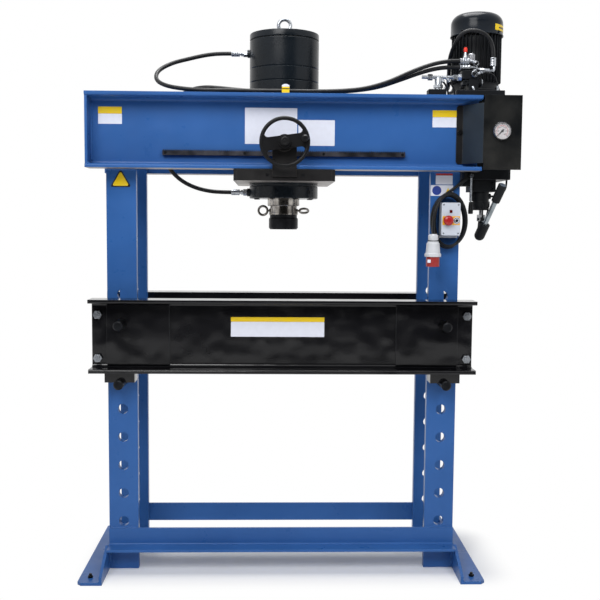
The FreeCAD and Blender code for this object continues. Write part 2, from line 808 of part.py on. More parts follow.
def hanger_brackets():
    """Plates on the carriage's front and rear that reach up to the rollers, with the axles."""
    y = -CARRIAGE_DEPTH / 2
    low = BEAM_BOTTOM - CARRIAGE_GAP - HANGER_LAP
    half = HANGER_WIDTH / 2
    plate = block(-half, half, y, y - HANGER_THICK, low, HANGER_TOP_Z)
    rear = front_to_rear(plate)
    neck = block(-BOSS_RADIUS, BOSS_RADIUS, y, y - HANGER_THICK, HANGER_TOP_Z - 30, WHEEL_Z)
    boss = rod(2 * BOSS_RADIUS, HANGER_THICK + 8, (0, y, WHEEL_Z), (0, -1, 0))
    front = joined([plate, neck, boss])
    bore = rod(SHAFT_DIAMETER + 2 * RUNNING_FIT, HANGER_THICK + 8, (0, y, WHEEL_Z), (0, -1, 0))
    front = front.cut(bore)
    axle = ROLLER_SIDE_GAP + ROLLER_WIDTH + 6
    for x, inner, z in roller_places():
        way = 1 if inner > 0 else -1
        stub = rod(ROLLER_AXLE, axle, (x, -way * y, z), (0, -way, 0))
        stub = stub.fuse(rod(ROLLER_AXLE + 8, ROLLER_SIDE_GAP - 1, (x, -way * y, z), (0, -way, 0)))
        stub = stub.fuse(
            rod(ROLLER_AXLE + 8, 5, (x, way * (abs(inner) - ROLLER_WIDTH - 1), z), (0, -way, 0))
        )
        if way < 0:
            front = front.fuse(stub)
        else:
            rear = rear.fuse(stub)
    return [front.removeSplitter(), rear.removeSplitter()]


def track_roller(place):
    x, inner, z = place
    way = 1 if inner > 0 else -1
    hole = ROLLER_AXLE / 2 + RUNNING_FIT
    r = ROLLER_DIAMETER / 2
    w = ROLLER_WIDTH
    profile = [(hole, 0), (r - 2, 0), (r, 2), (r, w - 2), (r - 2, w), (hole, w)]
    return turned(profile, (x, inner, z), (0, -way, 0))


def cylinder_barrel():
    r = BARREL_DIAMETER / 2
    bore = BORE_DIAMETER / 2
    base = BARREL_BOTTOM + GLAND_HEIGHT
    profile = [(bore, base), (r, base)]
    for z in SEAM_HEIGHTS:
        profile += [
            (r, z - SEAM_WIDTH / 2), (r - SEAM_DEPTH, z), (r, z + SEAM_WIDTH / 2),
        ]
    profile += [(r, BARREL_TOP), (bore, BARREL_TOP)]
    tube = turned(profile, (0, 0, 0))
    boss = rod(PORT_BOSS, PORT_BOSS_LENGTH + 6, (-r + 6, 0, PORT_UP_Z), (-1, 0, 0))
    boss = boss.cut(rod(BARREL_DIAMETER - 2, 100, (0, 0, PORT_UP_Z - 50), (0, 0, 1)))
    return joined([tube, boss])


def cylinder_gland():
    """Bottom end of the cylinder: guides the ram, carries the lower port."""
    r = BARREL_DIAMETER / 2
    hole = RAM_DIAMETER / 2 + RUNNING_FIT
    top = BARREL_BOTTOM + GLAND_HEIGHT
    groove = BARREL_BOTTOM + GLAND_HEIGHT * 0.86
    profile = [
        (hole, BARREL_BOTTOM), (r - 3, BARREL_BOTTOM), (r, BARREL_BOTTOM + 3),
        (r, groove - 3), (r - 2, groove), (r, groove + 3), (r, top), (hole, top),
    ]
    ring = turned(profile, (0, 0, 0))
    boss = rod(PORT_BOSS, PORT_BOSS_LENGTH + 6, (-r + 6, 0, PORT_LOW_Z), (-1, 0, 0))
    boss = boss.cut(rod(BARREL_DIAMETER - 2, 100, (0, 0, PORT_LOW_Z - 50), (0, 0, 1)))
    plug = rod(16, 8, (-32, -r + 4, PORT_LOW_Z), (0, -1, 0))
    return joined([ring, boss, plug])


def cylinder_cap():
    r = BARREL_DIAMETER / 2
    neck = CAP_NECK_DIAMETER / 2
    top = BARREL_TOP + CAP_HEIGHT
    profile = [
        (0, BARREL_TOP), (neck, BARREL_TOP), (neck, BARREL_TOP + CAP_NECK),
        (r, BARREL_TOP + CAP_NECK), (r, top - CAP_EDGE), (r - CAP_EDGE, top), (0, top),
    ]
    return turned(profile, (0, 0, 0))


def eye(outer, inner, shank, centre, down):
    """A ring bolt's round eye, its short neck and collar, pointing away from what holds it."""
    mean = (outer + inner) / 4
    wire = (outer - inner) / 4
    ring = Part.makeTorus(mean, wire, Vector(*centre), Vector(0, 1, 0))
    start = Vector(*centre) + Vector(*down) * (mean - wire * 0.4)
    neck_length = shank - (mean - wire * 0.4)
    neck = Part.makeCylinder(wire * 0.9, neck_length, start, Vector(*down))
    foot_start = Vector(*centre) + Vector(*down) * (shank - wire * 0.7)
    collar = Part.makeCylinder(wire * 1.7, wire * 0.7, foot_start, Vector(*down))
    return joined([ring, neck, collar])


def lifting_eye():
    top = BARREL_TOP + CAP_HEIGHT
    return eye(EYE_OUTER, EYE_INNER, EYE_CENTRE_UP, (0, 0, top + EYE_CENTRE_UP), (0, 0, -1))


def ram_eyes():
    reach = RAM_EYE_OUT - NECK_DIAMETER / 2
    left = eye(RAM_EYE_OUTER, RAM_EYE_INNER, reach, (-RAM_EYE_OUT, 0, RAM_EYE_Z), (1, 0, 0))
    right = left.mirror(Vector(0, 0, 0), Vector(1, 0, 0))
    right.rotate(Vector(0, 0, RAM_EYE_Z), Vector(1, 0, 0), 62)
    return [left, right]


def cylinder_fittings():
    """Nut and crimped sleeve at each port, pointing left."""
    parts = []
    for z in (PORT_UP_Z, PORT_LOW_Z):
        x = -(BARREL_DIAMETER / 2 + PORT_BOSS_LENGTH)
        nut = hexagon(PORT_NUT, PORT_NUT_LENGTH, (x, 0, z), (-1, 0, 0))
        neck = rod(16, 8, (x - PORT_NUT_LENGTH, 0, z), (-1, 0, 0))
        sleeve = rod(CRIMP_DIAMETER, CRIMP_LENGTH, (x - PORT_NUT_LENGTH - 6, 0, z), (-1, 0, 0))
        parts.append(joined([nut, neck, sleeve]))
    return parts


def hose_start(z):
    return (-(BARREL_DIAMETER / 2 + PORT_BOSS_LENGTH + PORT_NUT_LENGTH + 6 + CRIMP_LENGTH), 0, z)


def piston():
    r = BORE_DIAMETER / 2 - PISTON_FIT
    top = BARREL_TOP - PISTON_TOP_GAP
    low = top - PISTON_HEIGHT
    profile = [(0, low), (r, low)]
    for share in (0.3, 0.7):
        middle = low + PISTON_HEIGHT * share
        profile += [
            (r, middle - PISTON_GROOVE / 2), (r - PISTON_GROOVE_DEPTH, middle - PISTON_GROOVE / 2),
            (r - PISTON_GROOVE_DEPTH, middle + PISTON_GROOVE / 2), (r, middle + PISTON_GROOVE / 2),
        ]
    profile += [(r, top), (0, top)]
    return turned(profile, (0, 0, 0))


def ram_rod():
    r = RAM_DIAMETER / 2
    neck = NECK_DIAMETER / 2
    top = BARREL_TOP - PISTON_TOP_GAP - PISTON_HEIGHT
    profile = [
        (0, NOSE_TOP_Z), (neck, NOSE_TOP_Z), (neck, RAM_SHOULDER_Z), (r - 3, RAM_SHOULDER_Z),
        (r, RAM_SHOULDER_Z + 3), (r, top), (0, top),
    ]
    return turned(profile, (0, 0, 0))


def ram_nose():
    r = NOSE_DIAMETER / 2
    c = NOSE_CHAMFER
    profile = [
        (0, NOSE_TIP_Z), (r - c, NOSE_TIP_Z), (r, NOSE_TIP_Z + c), (r, NOSE_TOP_Z - 16),
        (r - 4, NOSE_TOP_Z - 12), (r - 4, NOSE_TOP_Z), (0, NOSE_TOP_Z),
    ]
    return turned(profile, (0, 0, 0))


# ---- power pack ------------------------------------------------------------------------------
def oil_tank():
    tank = block(TANK_LEFT, TANK_RIGHT, -HALF_DEPTH, HALF_DEPTH, TANK_BOTTOM, TANK_TOP)

    def uprights(at, way):
        return abs(way.z) > 0.9 and at.x > TANK_RIGHT - 1

    tank = rounded(tank, TANK_EDGE, uprights)
    lid = block(
        TOP_PLATE_LEFT, TOP_PLATE_RIGHT, TOP_PLATE_FRONT, TOP_PLATE_REAR,
        TANK_TOP, TANK_TOP + TOP_PLATE_THICK,
    )
    return joined([tank, lid])


def motor_housing():
    """Finned motor body on its flange, hollow, with the stator ring inside."""
    base = TANK_TOP + TOP_PLATE_THICK
    body_r = MOTOR_BODY / 2
    bore = body_r - MOTOR_WALL
    stator_low = (base + MOTOR_BODY_TOP - STATOR_HEIGHT) / 2
    shaft_hole = ROTOR_SHAFT / 2 + RUNNING_FIT
    outer = turned(
        [
            (shaft_hole, base), (MOTOR_FLANGE / 2, base),
            (MOTOR_FLANGE / 2, base + MOTOR_FLANGE_THICK),
            (body_r + 6, base + MOTOR_FLANGE_THICK + 16), (body_r, base + MOTOR_FLANGE_THICK + 24),
            (body_r, MOTOR_BODY_TOP), (shaft_hole, MOTOR_BODY_TOP),
            (shaft_hole, MOTOR_BODY_TOP - 14), (bore, MOTOR_BODY_TOP - 14),
            (bore, stator_low + STATOR_HEIGHT), (STATOR_BORE / 2, stator_low + STATOR_HEIGHT),
            (STATOR_BORE / 2, stator_low), (bore, stator_low), (bore, base + 14),
            (shaft_hole, base + 14),
        ],
        (MOTOR_X, 0, 0),
    )
    fins = []
    low = base + MOTOR_FLANGE_THICK + 26
    high = COVER_BOTTOM + 4
    for k in range(MOTOR_FINS):
        fin = block(
            body_r - 3, MOTOR_FIN_TIP / 2, -MOTOR_FIN_THICK / 2, MOTOR_FIN_THICK / 2, low, high
        )
        fin.rotate(Vector(0, 0, 0), Vector(0, 0, 1), (k + 0.5) * 360 / MOTOR_FINS)
        fin.translate(Vector(MOTOR_X, 0, 0))
        fins.append(fin)
    terminal = block(
        MOTOR_X - TERMINAL_BOX / 2, MOTOR_X + TERMINAL_BOX / 2,
        body_r - 10, MOTOR_FIN_TIP / 2 + TERMINAL_OUT,
        base + TERMINAL_UP, base + TERMINAL_UP + TERMINAL_BOX,
    )
    return joined([outer] + fins + [terminal])


def fan_cover():
    """Deep-drawn sheet hood over the fan, open at the bottom, with a ring of air slots on top."""
    r = COVER_DIAMETER / 2
    outer = rod(COVER_DIAMETER, COVER_TOP - COVER_BOTTOM, (MOTOR_X, 0, COVER_BOTTOM), (0, 0, 1))
    outer = outer.makeFillet(COVER_ROUND, [top_edge(outer, COVER_TOP)])
    inner = rod(
        COVER_DIAMETER - 2 * COVER_WALL, COVER_TOP - COVER_WALL - COVER_BOTTOM,
        (MOTOR_X, 0, COVER_BOTTOM), (0, 0, 1),
    )
    inner = inner.makeFillet(COVER_ROUND - COVER_WALL, [top_edge(inner, COVER_TOP - COVER_WALL)])
    shell = outer.cut(inner)
    slots = []
    for k in range(12):
        slot = block(24, r - COVER_ROUND, -3.5, 3.5, COVER_TOP - 10, COVER_TOP + 2)
        slot.rotate(Vector(0, 0, 0), Vector(0, 0, 1), k * 30)
        slot.translate(Vector(MOTOR_X, 0, 0))
        slots.append(slot)
    lip = turned(
        [(r - 1, COVER_BOTTOM), (r + 2, COVER_BOTTOM), (r + 2, COVER_BOTTOM + 5), (r - 1, COVER_BOTTOM + 5)],
        (MOTOR_X, 0, 0),
    )
    return joined([drilled(shell, slots), lip])


def top_edge(shape, height):
    for edge in shape.Edges:
        if abs(edge.CenterOfMass.z - height) < 0.1 and edge.isClosed():
            return edge
    raise ValueError("no round edge at that height")


def motor_rotor():
    base = TANK_TOP + TOP_PLATE_THICK
    stator_low = (base + MOTOR_BODY_TOP - STATOR_HEIGHT) / 2
    shaft = ROTOR_SHAFT / 2
    core = STATOR_BORE / 2 - AIR_GAP
    top = MOTOR_BODY_TOP + 50
    profile = [
        (0, base + 1), (shaft, base + 1), (shaft, stator_low - 4), (core, stator_low - 4),
        (core, stator_low + STATOR_HEIGHT + 4), (shaft, stator_low + STATOR_HEIGHT + 4),
        (shaft, top), (0, top),
    ]
    return turned(profile, (MOTOR_X, 0, 0))


def motor_fan():
    low = MOTOR_BODY_TOP + 10
    shaft = ROTOR_SHAFT / 2
    hub = turned(
        [(shaft, low), (FAN_DIAMETER / 2, low), (FAN_DIAMETER / 2, low + 3), (30, low + 3),
         (26, low + FAN_HEIGHT), (shaft, low + FAN_HEIGHT)],
        (0, 0, 0),
    )
    blades = []
    for k in range(FAN_BLADES):
        blade = block(24, FAN_DIAMETER / 2 - 2, -1.5, 1.5, low + 2, low + FAN_HEIGHT)
        blade.rotate(Vector(0, 0, 0), Vector(0, 0, 1), k * 360 / FAN_BLADES)
        blades.append(blade)
    fan = joined([hub] + blades)
    fan.translate(Vector(MOTOR_X, 0, 0))
    return fan


def valve_block():
    """Steel manifold on the tank's top plate, with the relief valve's stem and two plugs."""
    base = TANK_TOP + TOP_PLATE_THICK
    left, right = VALVE_BLOCK
    front, rear = VALVE_BLOCK_Y
    body = block(left, right, front, rear, base, VALVE_BLOCK_TOP)

    def ends(at, way):
        return abs(way.z) > 0.9

    body = rounded(body, 4, ends)
    stem = rod(14, KNOB_BOTTOM - VALVE_BLOCK_TOP + 12, (KNOB_X, KNOB_Y, VALVE_BLOCK_TOP), (0, 0, 1))
    seat = hexagon(24, 12, (KNOB_X, KNOB_Y, VALVE_BLOCK_TOP), (0, 0, 1))
    plugs = [
        rod(22, 8, (left + 22, front + 1, base + 18), (0, -1, 0)),
        rod(18, 9, (right - 18, front + 1, base + 15), (0, -1, 0)),
    ]
    return joined([body, stem, seat] + plugs)


def relief_knob():
    r = KNOB_DIAMETER / 2
    low = KNOB_BOTTOM
    top = KNOB_TOP
    hole = 7 + RUNNING_FIT
    profile = [
        (hole, low), (r, low), (r, top - 5), (r - 4, top), (0, top), (0, low + 14), (hole, low + 14),
    ]
    knob = turned(profile, (KNOB_X, KNOB_Y, 0))
    grooves = []
    for k in range(12):
        angle = 2 * math.pi * k / 12
        grooves.append(
            rod(3, top - low, (KNOB_X + (r + 0.4) * math.cos(angle),
                               KNOB_Y + (r + 0.4) * math.sin(angle), low), (0, 0, 1))
        )
    return drilled(knob, grooves)


UPPER_HOSE_END = (716.0, FITTING_Y, VALVE_BLOCK_TOP + 37)
LOWER_HOSE_END = (716.0, FITTING_Y, VALVE_BLOCK_TOP + 12)
RETURN_START = (856.0, FITTING_Y, VALVE_BLOCK_TOP + 38)
RETURN_END = (718.0, 106.0, LID_TOP + 27)
PIPE_Y = -176.0
PIPE_Z = VALVE_BLOCK_TOP - 30
STUB_X = (634.0, 660.0)
STUB_LENGTH = 20.0
STUB_WAY = (0.64, 0.0, -0.768)


def pack_fittings():
    """Zinc-plated unions, crimped sleeves, elbows and the pilot valve on the beam's flange."""
    top = VALVE_BLOCK_TOP
    end_x, y, upper_z = UPPER_HOSE_END
    lower_z = LOWER_HOSE_END[2]
    sleeve = rod(CRIMP_DIAMETER, 38, UPPER_HOSE_END, (1, 0, 0))
    neck = rod(12, 36, (end_x + 36, y, upper_z), (1, 0, 0))
    banjo = rod(22, 16, (783, y + 8, upper_z - 4), (0, -1, 0))
    drop = rod(14, upper_z - 4 - top, (783, y, top), (0, 0, 1))
    drop_nut = hexagon(20, 10, (783, y, top), (0, 0, 1))
    test_point = rod(16, 24, (738, y, upper_z + 8), (0, 0, 1))
    test_cap = rod(14, 30, (738, y, upper_z + 32), (0, 0, 1))
    upper = joined([sleeve, neck, banjo, drop, drop_nut, test_point])
    sleeve = rod(CRIMP_DIAMETER - 3, 32, LOWER_HOSE_END, (1, 0, 0))
    neck = rod(11, 12, (end_x + 30, y, lower_z), (1, 0, 0))
    corner = Part.makeSphere(5.5, Vector(end_x + 42, y, lower_z))
    drop = rod(11, lower_z - top, (end_x + 42, y, top), (0, 0, 1))
    lower = joined([sleeve, neck, corner, drop])
    port = rod(24, 14, (KNOB_X + 4, VALVE_BLOCK_Y[0], VALVE_BLOCK_TOP - 16), (0, -1, 0))
    x, y, z = RETURN_START
    crimp = rod(24, 34, RETURN_START, (0, 0, -1))
    down = rod(11, 20, (x, y, z - 32), (0, 0, -1))
    corner = Part.makeSphere(5.5, Vector(x, y, z - 52))
    inward = rod(11, x - VALVE_BLOCK[1], (x, y, z - 52), (-1, 0, 0))
    union = hexagon(20, 18, (VALVE_BLOCK[1] + 8, y, z - 52), (1, 0, 0))
    back = joined([crimp, down, corner, inward, union])
    side_plug = rod(16, 7, (VALVE_BLOCK[1], y, VALVE_BLOCK_TOP - 40), (1, 0, 0))
    base = block(584, 656, -212, -152, BEAM_TOP, BEAM_TOP + 30)
    column = rod(30, PIPE_Z - BEAM_TOP - 29, (628, PIPE_Y, BEAM_TOP + 29), (0, 0, 1))
    collar = hexagon(34, 14, (628, PIPE_Y, BEAM_TOP + 38), (0, 0, 1))
    pipe = rod(14, VALVE_BLOCK[0] - 560, (560, PIPE_Y, PIPE_Z), (1, 0, 0))
    nuts = [
        hexagon(22, 20, (584, PIPE_Y, PIPE_Z), (1, 0, 0)),
        hexagon(22, 18, (VALVE_BLOCK[0] - 18, PIPE_Y, PIPE_Z), (1, 0, 0)),
    ]
    stubs = [rod(10, STUB_LENGTH, (x, PIPE_Y, PIPE_Z), STUB_WAY) for x in STUB_X]
    pilot = joined([base, column, collar, pipe] + nuts + stubs)
    lid = TANK_TOP + TOP_PLATE_THICK
    x, y, z = RETURN_END
    crimp = rod(24, 30, RETURN_END, (0, 1, 0))
    inward = rod(12, 14, (x, y + 28, z), (0, 1, 0))
    corner = Part.makeSphere(6, Vector(x, y + 42, z))
    down = rod(12, z - lid, (x, y + 42, lid), (0, 0, 1))
    nut = hexagon(22, 12, (x, y + 42, lid), (0, 0, 1))
    rear_union = joined([crimp, inward, corner, down, nut])
    return [upper, test_cap, lower, port, back, side_plug, pilot, rear_union]


# ---- gauge panel -----------------------------------------------------------------------------
def gauge_panel():
    """One bent sheet: a tab on the beam's web, a slanted wing, and the front that holds the gauge."""
    t = PANEL_THICK
    back = -WEB_FRONT
    low = BEAM_BOTTOM + CHANNEL_FLANGE_THICK + PANEL_TROUGH_GAP
    high = BEAM_TOP - CHANNEL_FLANGE_THICK - PANEL_TROUGH_GAP
    slant = math.atan2(back - PANEL_Y, PANEL_FRONT_LEFT - PANEL_FOLD)
    shift = t * math.tan(slant / 2)
    wing = prism(
        [
            (PANEL_LEFT, back, low), (PANEL_FOLD, back, low), (PANEL_FRONT_LEFT, PANEL_Y, low),
            (PANEL_FRONT_LEFT + 12, PANEL_Y, low), (PANEL_FRONT_LEFT + 12, PANEL_Y - t, low),
            (PANEL_FRONT_LEFT - shift, PANEL_Y - t, low), (PANEL_FOLD - shift, back - t, low),
            (PANEL_LEFT, back - t, low),
        ],
        (0, 0, high - low),
    )

    def tab_corner(at, way):
        return abs(way.y) > 0.9 and at.x < PANEL_LEFT + 1

    wing = rounded(wing, 12, tab_corner)
    front = block(
        PANEL_FRONT_LEFT + 1, PANEL_RIGHT, PANEL_Y, PANEL_Y - t, PANEL_BOTTOM, PANEL_TOP
    )
    solid = joined([wing, front])
    hole = rod(GAUGE_CASE, t, (GAUGE_X, PANEL_Y, GAUGE_Z), (0, -1, 0))
    stay = block(TANK_RIGHT - 30, TANK_RIGHT - 12, -HALF_DEPTH, PANEL_Y, PANEL_BOTTOM + 20, PANEL_BOTTOM + 60)
    return joined([solid.cut(hole), stay])


def gauge_case():
    """Round case with a rolled bezel, open at the front over the dial."""
    face = PANEL_Y - PANEL_THICK
    case = GAUGE_CASE / 2
    bezel = GAUGE_DIAMETER / 2
    profile = [
        (0, -GAUGE_BACK), (case - 4, -GAUGE_BACK), (case, -GAUGE_BACK + 4), (case, 0), (bezel, 0),
        (bezel, GAUGE_DEPTH - 3), (bezel - 2, GAUGE_DEPTH), (bezel - GAUGE_WALL, GAUGE_DEPTH),
        (bezel - GAUGE_WALL, GAUGE_DEPTH - 9), (0, GAUGE_DEPTH - 9),
    ]
    case_solid = turned(profile, (GAUGE_X, face, GAUGE_Z), (0, -1, 0))
    nipple = rod(14, 26, (GAUGE_X, face + GAUGE_BACK - 1, GAUGE_Z), (0, 1, 0))
    arbor = rod(3, 4, (GAUGE_X, face - GAUGE_DEPTH + 9.5, GAUGE_Z), (0, -1, 0))
    return joined([case_solid, nipple, arbor])


def gauge_needle():
    face = PANEL_Y - PANEL_THICK - GAUGE_DEPTH + 9
    y = face - 1.5
    hub = rod(8, 1.6, (GAUGE_X, y, GAUGE_Z), (0, -1, 0))
    hand = prism(
        [
            (GAUGE_X - 1.6, y, GAUGE_Z - 9), (GAUGE_X + 1.6, y, GAUGE_Z - 9),
            (GAUGE_X + 0.6, y, GAUGE_Z + NEEDLE_LENGTH), (GAUGE_X - 0.6, y, GAUGE_Z + NEEDLE_LENGTH),
        ],
        (0, -1.2, 0),
    )
    solid = joined([hub, hand])
    solid = solid.cut(rod(3 + 2 * RUNNING_FIT, 6, (GAUGE_X, y + 1, GAUGE_Z), (0, -1, 0)))
    solid.rotate(Vector(GAUGE_X, 0, GAUGE_Z), Vector(0, 1, 0), NEEDLE_REST)
    return solid


# ---- hand valve and hand pump ----------------------------------------------------------------
def valve_lever():
    """Zinc rod with a plastic grip, hanging from the hand valve's boss."""
    y = -HALF_DEPTH - LEVER_BOSS_OUT - 1
    head = rod(LEVER_BOSS - 6, 10, (LEVER_X, y, LEVER_Z), (0, -1, 0))
    hole = rod(10 + 2 * RUNNING_FIT, 20, (LEVER_X, y + 5, LEVER_Z), (0, -1, 0))
    stem_top = LEVER_Z - 8
    stem = rod(LEVER_ROD, stem_top - LEVER_GRIP_BOTTOM - 8, (LEVER_X, y - 5, stem_top), (0, 0, -1))
    lever = joined([head.cut(hole), stem.cut(hole)])
    grip = turned(
        [
            (4, LEVER_GRIP_BOTTOM + 4), (9, LEVER_GRIP_BOTTOM), (10, LEVER_GRIP_BOTTOM + 14),
            (7, LEVER_GRIP_TOP), (4, LEVER_GRIP_TOP),
        ],
        (LEVER_X, y - 5, 0),
    )
    return [joined([lever, grip])]


def pump_body():
    """Pump head under the tank, its barrel, the two thin links to the fulcrum pin, the hand
    valve with its boss, and the mains gland."""
    head = block(PUMP_X - 52, PUMP_X + 52, PUMP_Y - 40, PUMP_Y + 60, PUMP_HEAD_BOTTOM, TANK_BOTTOM)
    barrel = rod(
        PUMP_BARREL, PUMP_HEAD_BOTTOM - PUMP_BARREL_BOTTOM, (PUMP_X, PUMP_Y, PUMP_BARREL_BOTTOM), (0, 0, 1)
    )
    lug = block(PUMP_X - 46, PUMP_X - 20, PUMP_Y - 14, PUMP_Y + 14, 1562, PUMP_HEAD_BOTTOM + 1)
    ring = rod(PUMP_BARREL + 8, 22, (PUMP_X, PUMP_Y, PUMP_BARREL_BOTTOM + 14), (0, 0, 1))
    nut = hexagon(20, 12, (PUMP_X + PUMP_BARREL / 2 - 6, PUMP_Y - 6, 1582), (1, 0, 0))
    bore = rod(
        PLUNGER_DIAMETER + 2 * RUNNING_FIT, PUMP_HEAD_BOTTOM - PUMP_BARREL_BOTTOM,
        (PUMP_X, PUMP_Y, PUMP_BARREL_BOTTOM), (0, 0, 1),
    )
    body = joined([head, barrel, lug, ring, nut]).cut(bore)
    links = []
    top_z = PUMP_BARREL_BOTTOM + 26
    for side in (-1, 1):
        start = Vector(side * 16, -PUMP_BARREL / 2 - 2, top_z)
        end = Vector(side * 9, -FULCRUM_AHEAD, FULCRUM_Z)
        way = end - start
        link = Part.makeCylinder(3, way.Length, start, way)
        link_eye = rod(16, 5, (side * 9 - 2.5, -FULCRUM_AHEAD, FULCRUM_Z), (1, 0, 0))
        links += [link, link_eye]
    links.append(rod(PUMP_PIN, 26, (-13, -FULCRUM_AHEAD, FULCRUM_Z), (1, 0, 0)))
    set_square = joined(links)
    set_square.rotate(Vector(0, 0, 0), Vector(0, 0, 1), PUMP_TURN)
    set_square.translate(Vector(PUMP_X, PUMP_Y, 0))
    return [joined([body, set_square])]


def hand_valve():
    """Hand valve on the tank's lower front: body, boss and lever spindle."""
    body = block(TANK_LEFT, PUMP_X - 53, -HALF_DEPTH, -HALF_DEPTH + 60, 1622, TANK_BOTTOM)
    boss = rod(LEVER_BOSS, LEVER_BOSS_OUT, (LEVER_X, -HALF_DEPTH, LEVER_Z), (0, -1, 0))
    spindle = rod(10, LEVER_BOSS_OUT + 14, (LEVER_X, -HALF_DEPTH, LEVER_Z), (0, -1, 0))
    return joined([body, boss, spindle])


def local_pump(shape):
    """Turns a shape drawn about the plunger's axis to the hand pump's real place."""
    shape.rotate(Vector(0, 0, 0), Vector(0, 0, 1), PUMP_TURN)
    shape.translate(Vector(PUMP_X, PUMP_Y, 0))
    return shape


def pump_plunger():
    """Steel plunger with a fork at its lower end, slotted for the lever's pin."""
    stem = rod(PLUNGER_DIAMETER, 74, (0, 0, FULCRUM_Z + 16), (0, 0, 1))
    bridge = block(-13, 13, -15, 8, FULCRUM_Z + 11, FULCRUM_Z + 18)
    cheeks = [block(x, x + 6, -15, 8, FULCRUM_Z - 9, FULCRUM_Z + 12) for x in (-13, 7)]
    slot = block(-14, 14, -10, 5.5, FULCRUM_Z - 5.5, FULCRUM_Z + 5.5)
    fork = joined([stem, bridge] + cheeks)
    return local_pump(fork.cut(slot))


def pump_lever():
    """Cast socket with a tongue between the links, steel tube and rubber grip."""
    lean = math.radians(TUBE_ANGLE)
    way = Vector(0, -math.cos(lean), math.sin(lean))
    low = Vector(0, -12, SOCKET_Z)
    cup = Part.makeCylinder(SOCKET_DIAMETER / 2, SOCKET_LENGTH, low - way * 26, way)
    cup = cup.fuse(Part.makeSphere(SOCKET_DIAMETER / 2, low - way * 26))
    tongue = prism(
        [
            (-5, -FULCRUM_AHEAD - 9, FULCRUM_Z - 46), (-5, 14, FULCRUM_Z - 46),
            (-5, 7, FULCRUM_Z + 6), (-5, -FULCRUM_AHEAD - 4, FULCRUM_Z + 8),
        ],
        (10, 0, 0),
    )
    hole = rod(PUMP_PIN + 2 * RUNNING_FIT, 12, (-6, -FULCRUM_AHEAD, FULCRUM_Z), (1, 0, 0))
    pin_rear = rod(PUMP_PIN, 26, (-13, 0, FULCRUM_Z), (1, 0, 0))
    clear = [rod(20, 8, (x, -FULCRUM_AHEAD, FULCRUM_Z), (1, 0, 0)) for x in (-13.5, 5.5)]
    clear += [block(x, x + 8, -16, 12, FULCRUM_Z - 16, FULCRUM_Z + 14) for x in (-13.8, 5.8)]
    casting = drilled(joined([cup, tongue]), [hole] + clear)
    tube = Part.makeCylinder(TUBE_DIAMETER / 2, TUBE_LENGTH - 4, low, way)
    grip_start = low + way * (TUBE_LENGTH - GRIP_LENGTH)
    grip = Part.makeCylinder(GRIP_DIAMETER / 2, GRIP_LENGTH, grip_start, way)
    lever = joined([casting, tube, pin_rear, grip])
    return local_pump(lever)


# ---- switch box ------------------------------------------------------------------------------
def switch_box():
    half = SWITCH_WIDTH / 2
    back = -HALF_DEPTH
    front = back - SWITCH_DEPTH
    base = block(
        SWITCH_X - half + 2, SWITCH_X + half - 2, back, back - SWITCH_BASE - 1,
        SWITCH_BOTTOM - 10, SWITCH_BOTTOM + SWITCH_HEIGHT - 4,
    )
    cover = block(
        SWITCH_X - half, SWITCH_X + half, back - SWITCH_BASE, front,
        SWITCH_BOTTOM, SWITCH_BOTTOM + SWITCH_HEIGHT,
    )

    def front_edges(at, way):
        return abs(at.y - front) < 0.1

    def side_edges(at, way):
        return abs(way.y) > 0.9

    cover = rounded(cover, SWITCH_EDGE, side_edges)
    cover = rounded(cover, 3, front_edges)
    collar = rod(30, 5, (STOP_X, front + 1, BUTTON_Z), (0, -1, 0))
    holes = [
        rod(14 + 2 * RUNNING_FIT, 30, (STOP_X, front + 20, BUTTON_Z), (0, -1, 0)),
        rod(START_DIAMETER + 2 * RUNNING_FIT, 22, (START_X, front + 16, BUTTON_Z), (0, -1, 0)),
    ]
    return [base.cut(cover), drilled(joined([cover, collar]), holes)]


def stop_button():
    """Red mushroom head on its stem."""
    front = -HALF_DEPTH - SWITCH_DEPTH
    r = STOP_DIAMETER / 2
    gap = 4 + STOP_TRAVEL + 1
    profile = [
        (0, -12), (7, -12), (7, gap), (r - 4, gap), (r, gap + 4), (r, gap + 9), (r - 3, gap + 14),
        (r * 0.5, gap + 17), (0, gap + 18),
    ]
    return turned(profile, (STOP_X, front, BUTTON_Z), (0, -1, 0))


def start_button():
    front = -HALF_DEPTH - SWITCH_DEPTH
    r = START_DIAMETER / 2
    profile = [(0, -10), (r, -10), (r, 3), (r - 1.5, 4.5), (0, 4.5)]
    return turned(profile, (START_X, front, BUTTON_Z), (0, -1, 0))


# ---- hoses and mains cable -------------------------------------------------------------------
ROD_REST = BEAM_TOP + HOSE_DIAMETER / 2
HOSE_Y = -236.0
INNER_HOSE_Y = -208.0


def upper_hose():
    x, y, z = hose_start(PORT_UP_Z)
    return [
        (x, y, z), (x - 52, y, z), (x - 112, y - 4, z - 3), (x - 180, y - 14, z - 11),
        (x - 254, y - 40, z - 25), (x - 301, y - 90, z - 62), (x - 301, y - 151, z - 109),
        (x - 254, y - 202, z - 147), (x - 180, y - 226, ROD_REST + 8),
        (x - 100, HOSE_Y, ROD_REST + 2), (x - 10, HOSE_Y - 2, ROD_REST + 2.5),
        (x + 90, HOSE_Y, ROD_REST + 2), (x + 200, HOSE_Y + 2, ROD_REST + 3),
        (x + 322, HOSE_Y, ROD_REST + 2), (x + 430, HOSE_Y - 1, ROD_REST + 4),
        (x + 540, HOSE_Y + 4, ROD_REST + 14), (x + 640, HOSE_Y + 14, ROD_REST + 44),
        (x + 730, HOSE_Y + 30, ROD_REST + 88), (x + 818, HOSE_Y + 54, ROD_REST + 124),
        (x + 890, FITTING_Y, UPPER_HOSE_END[2]), UPPER_HOSE_END,
    ]


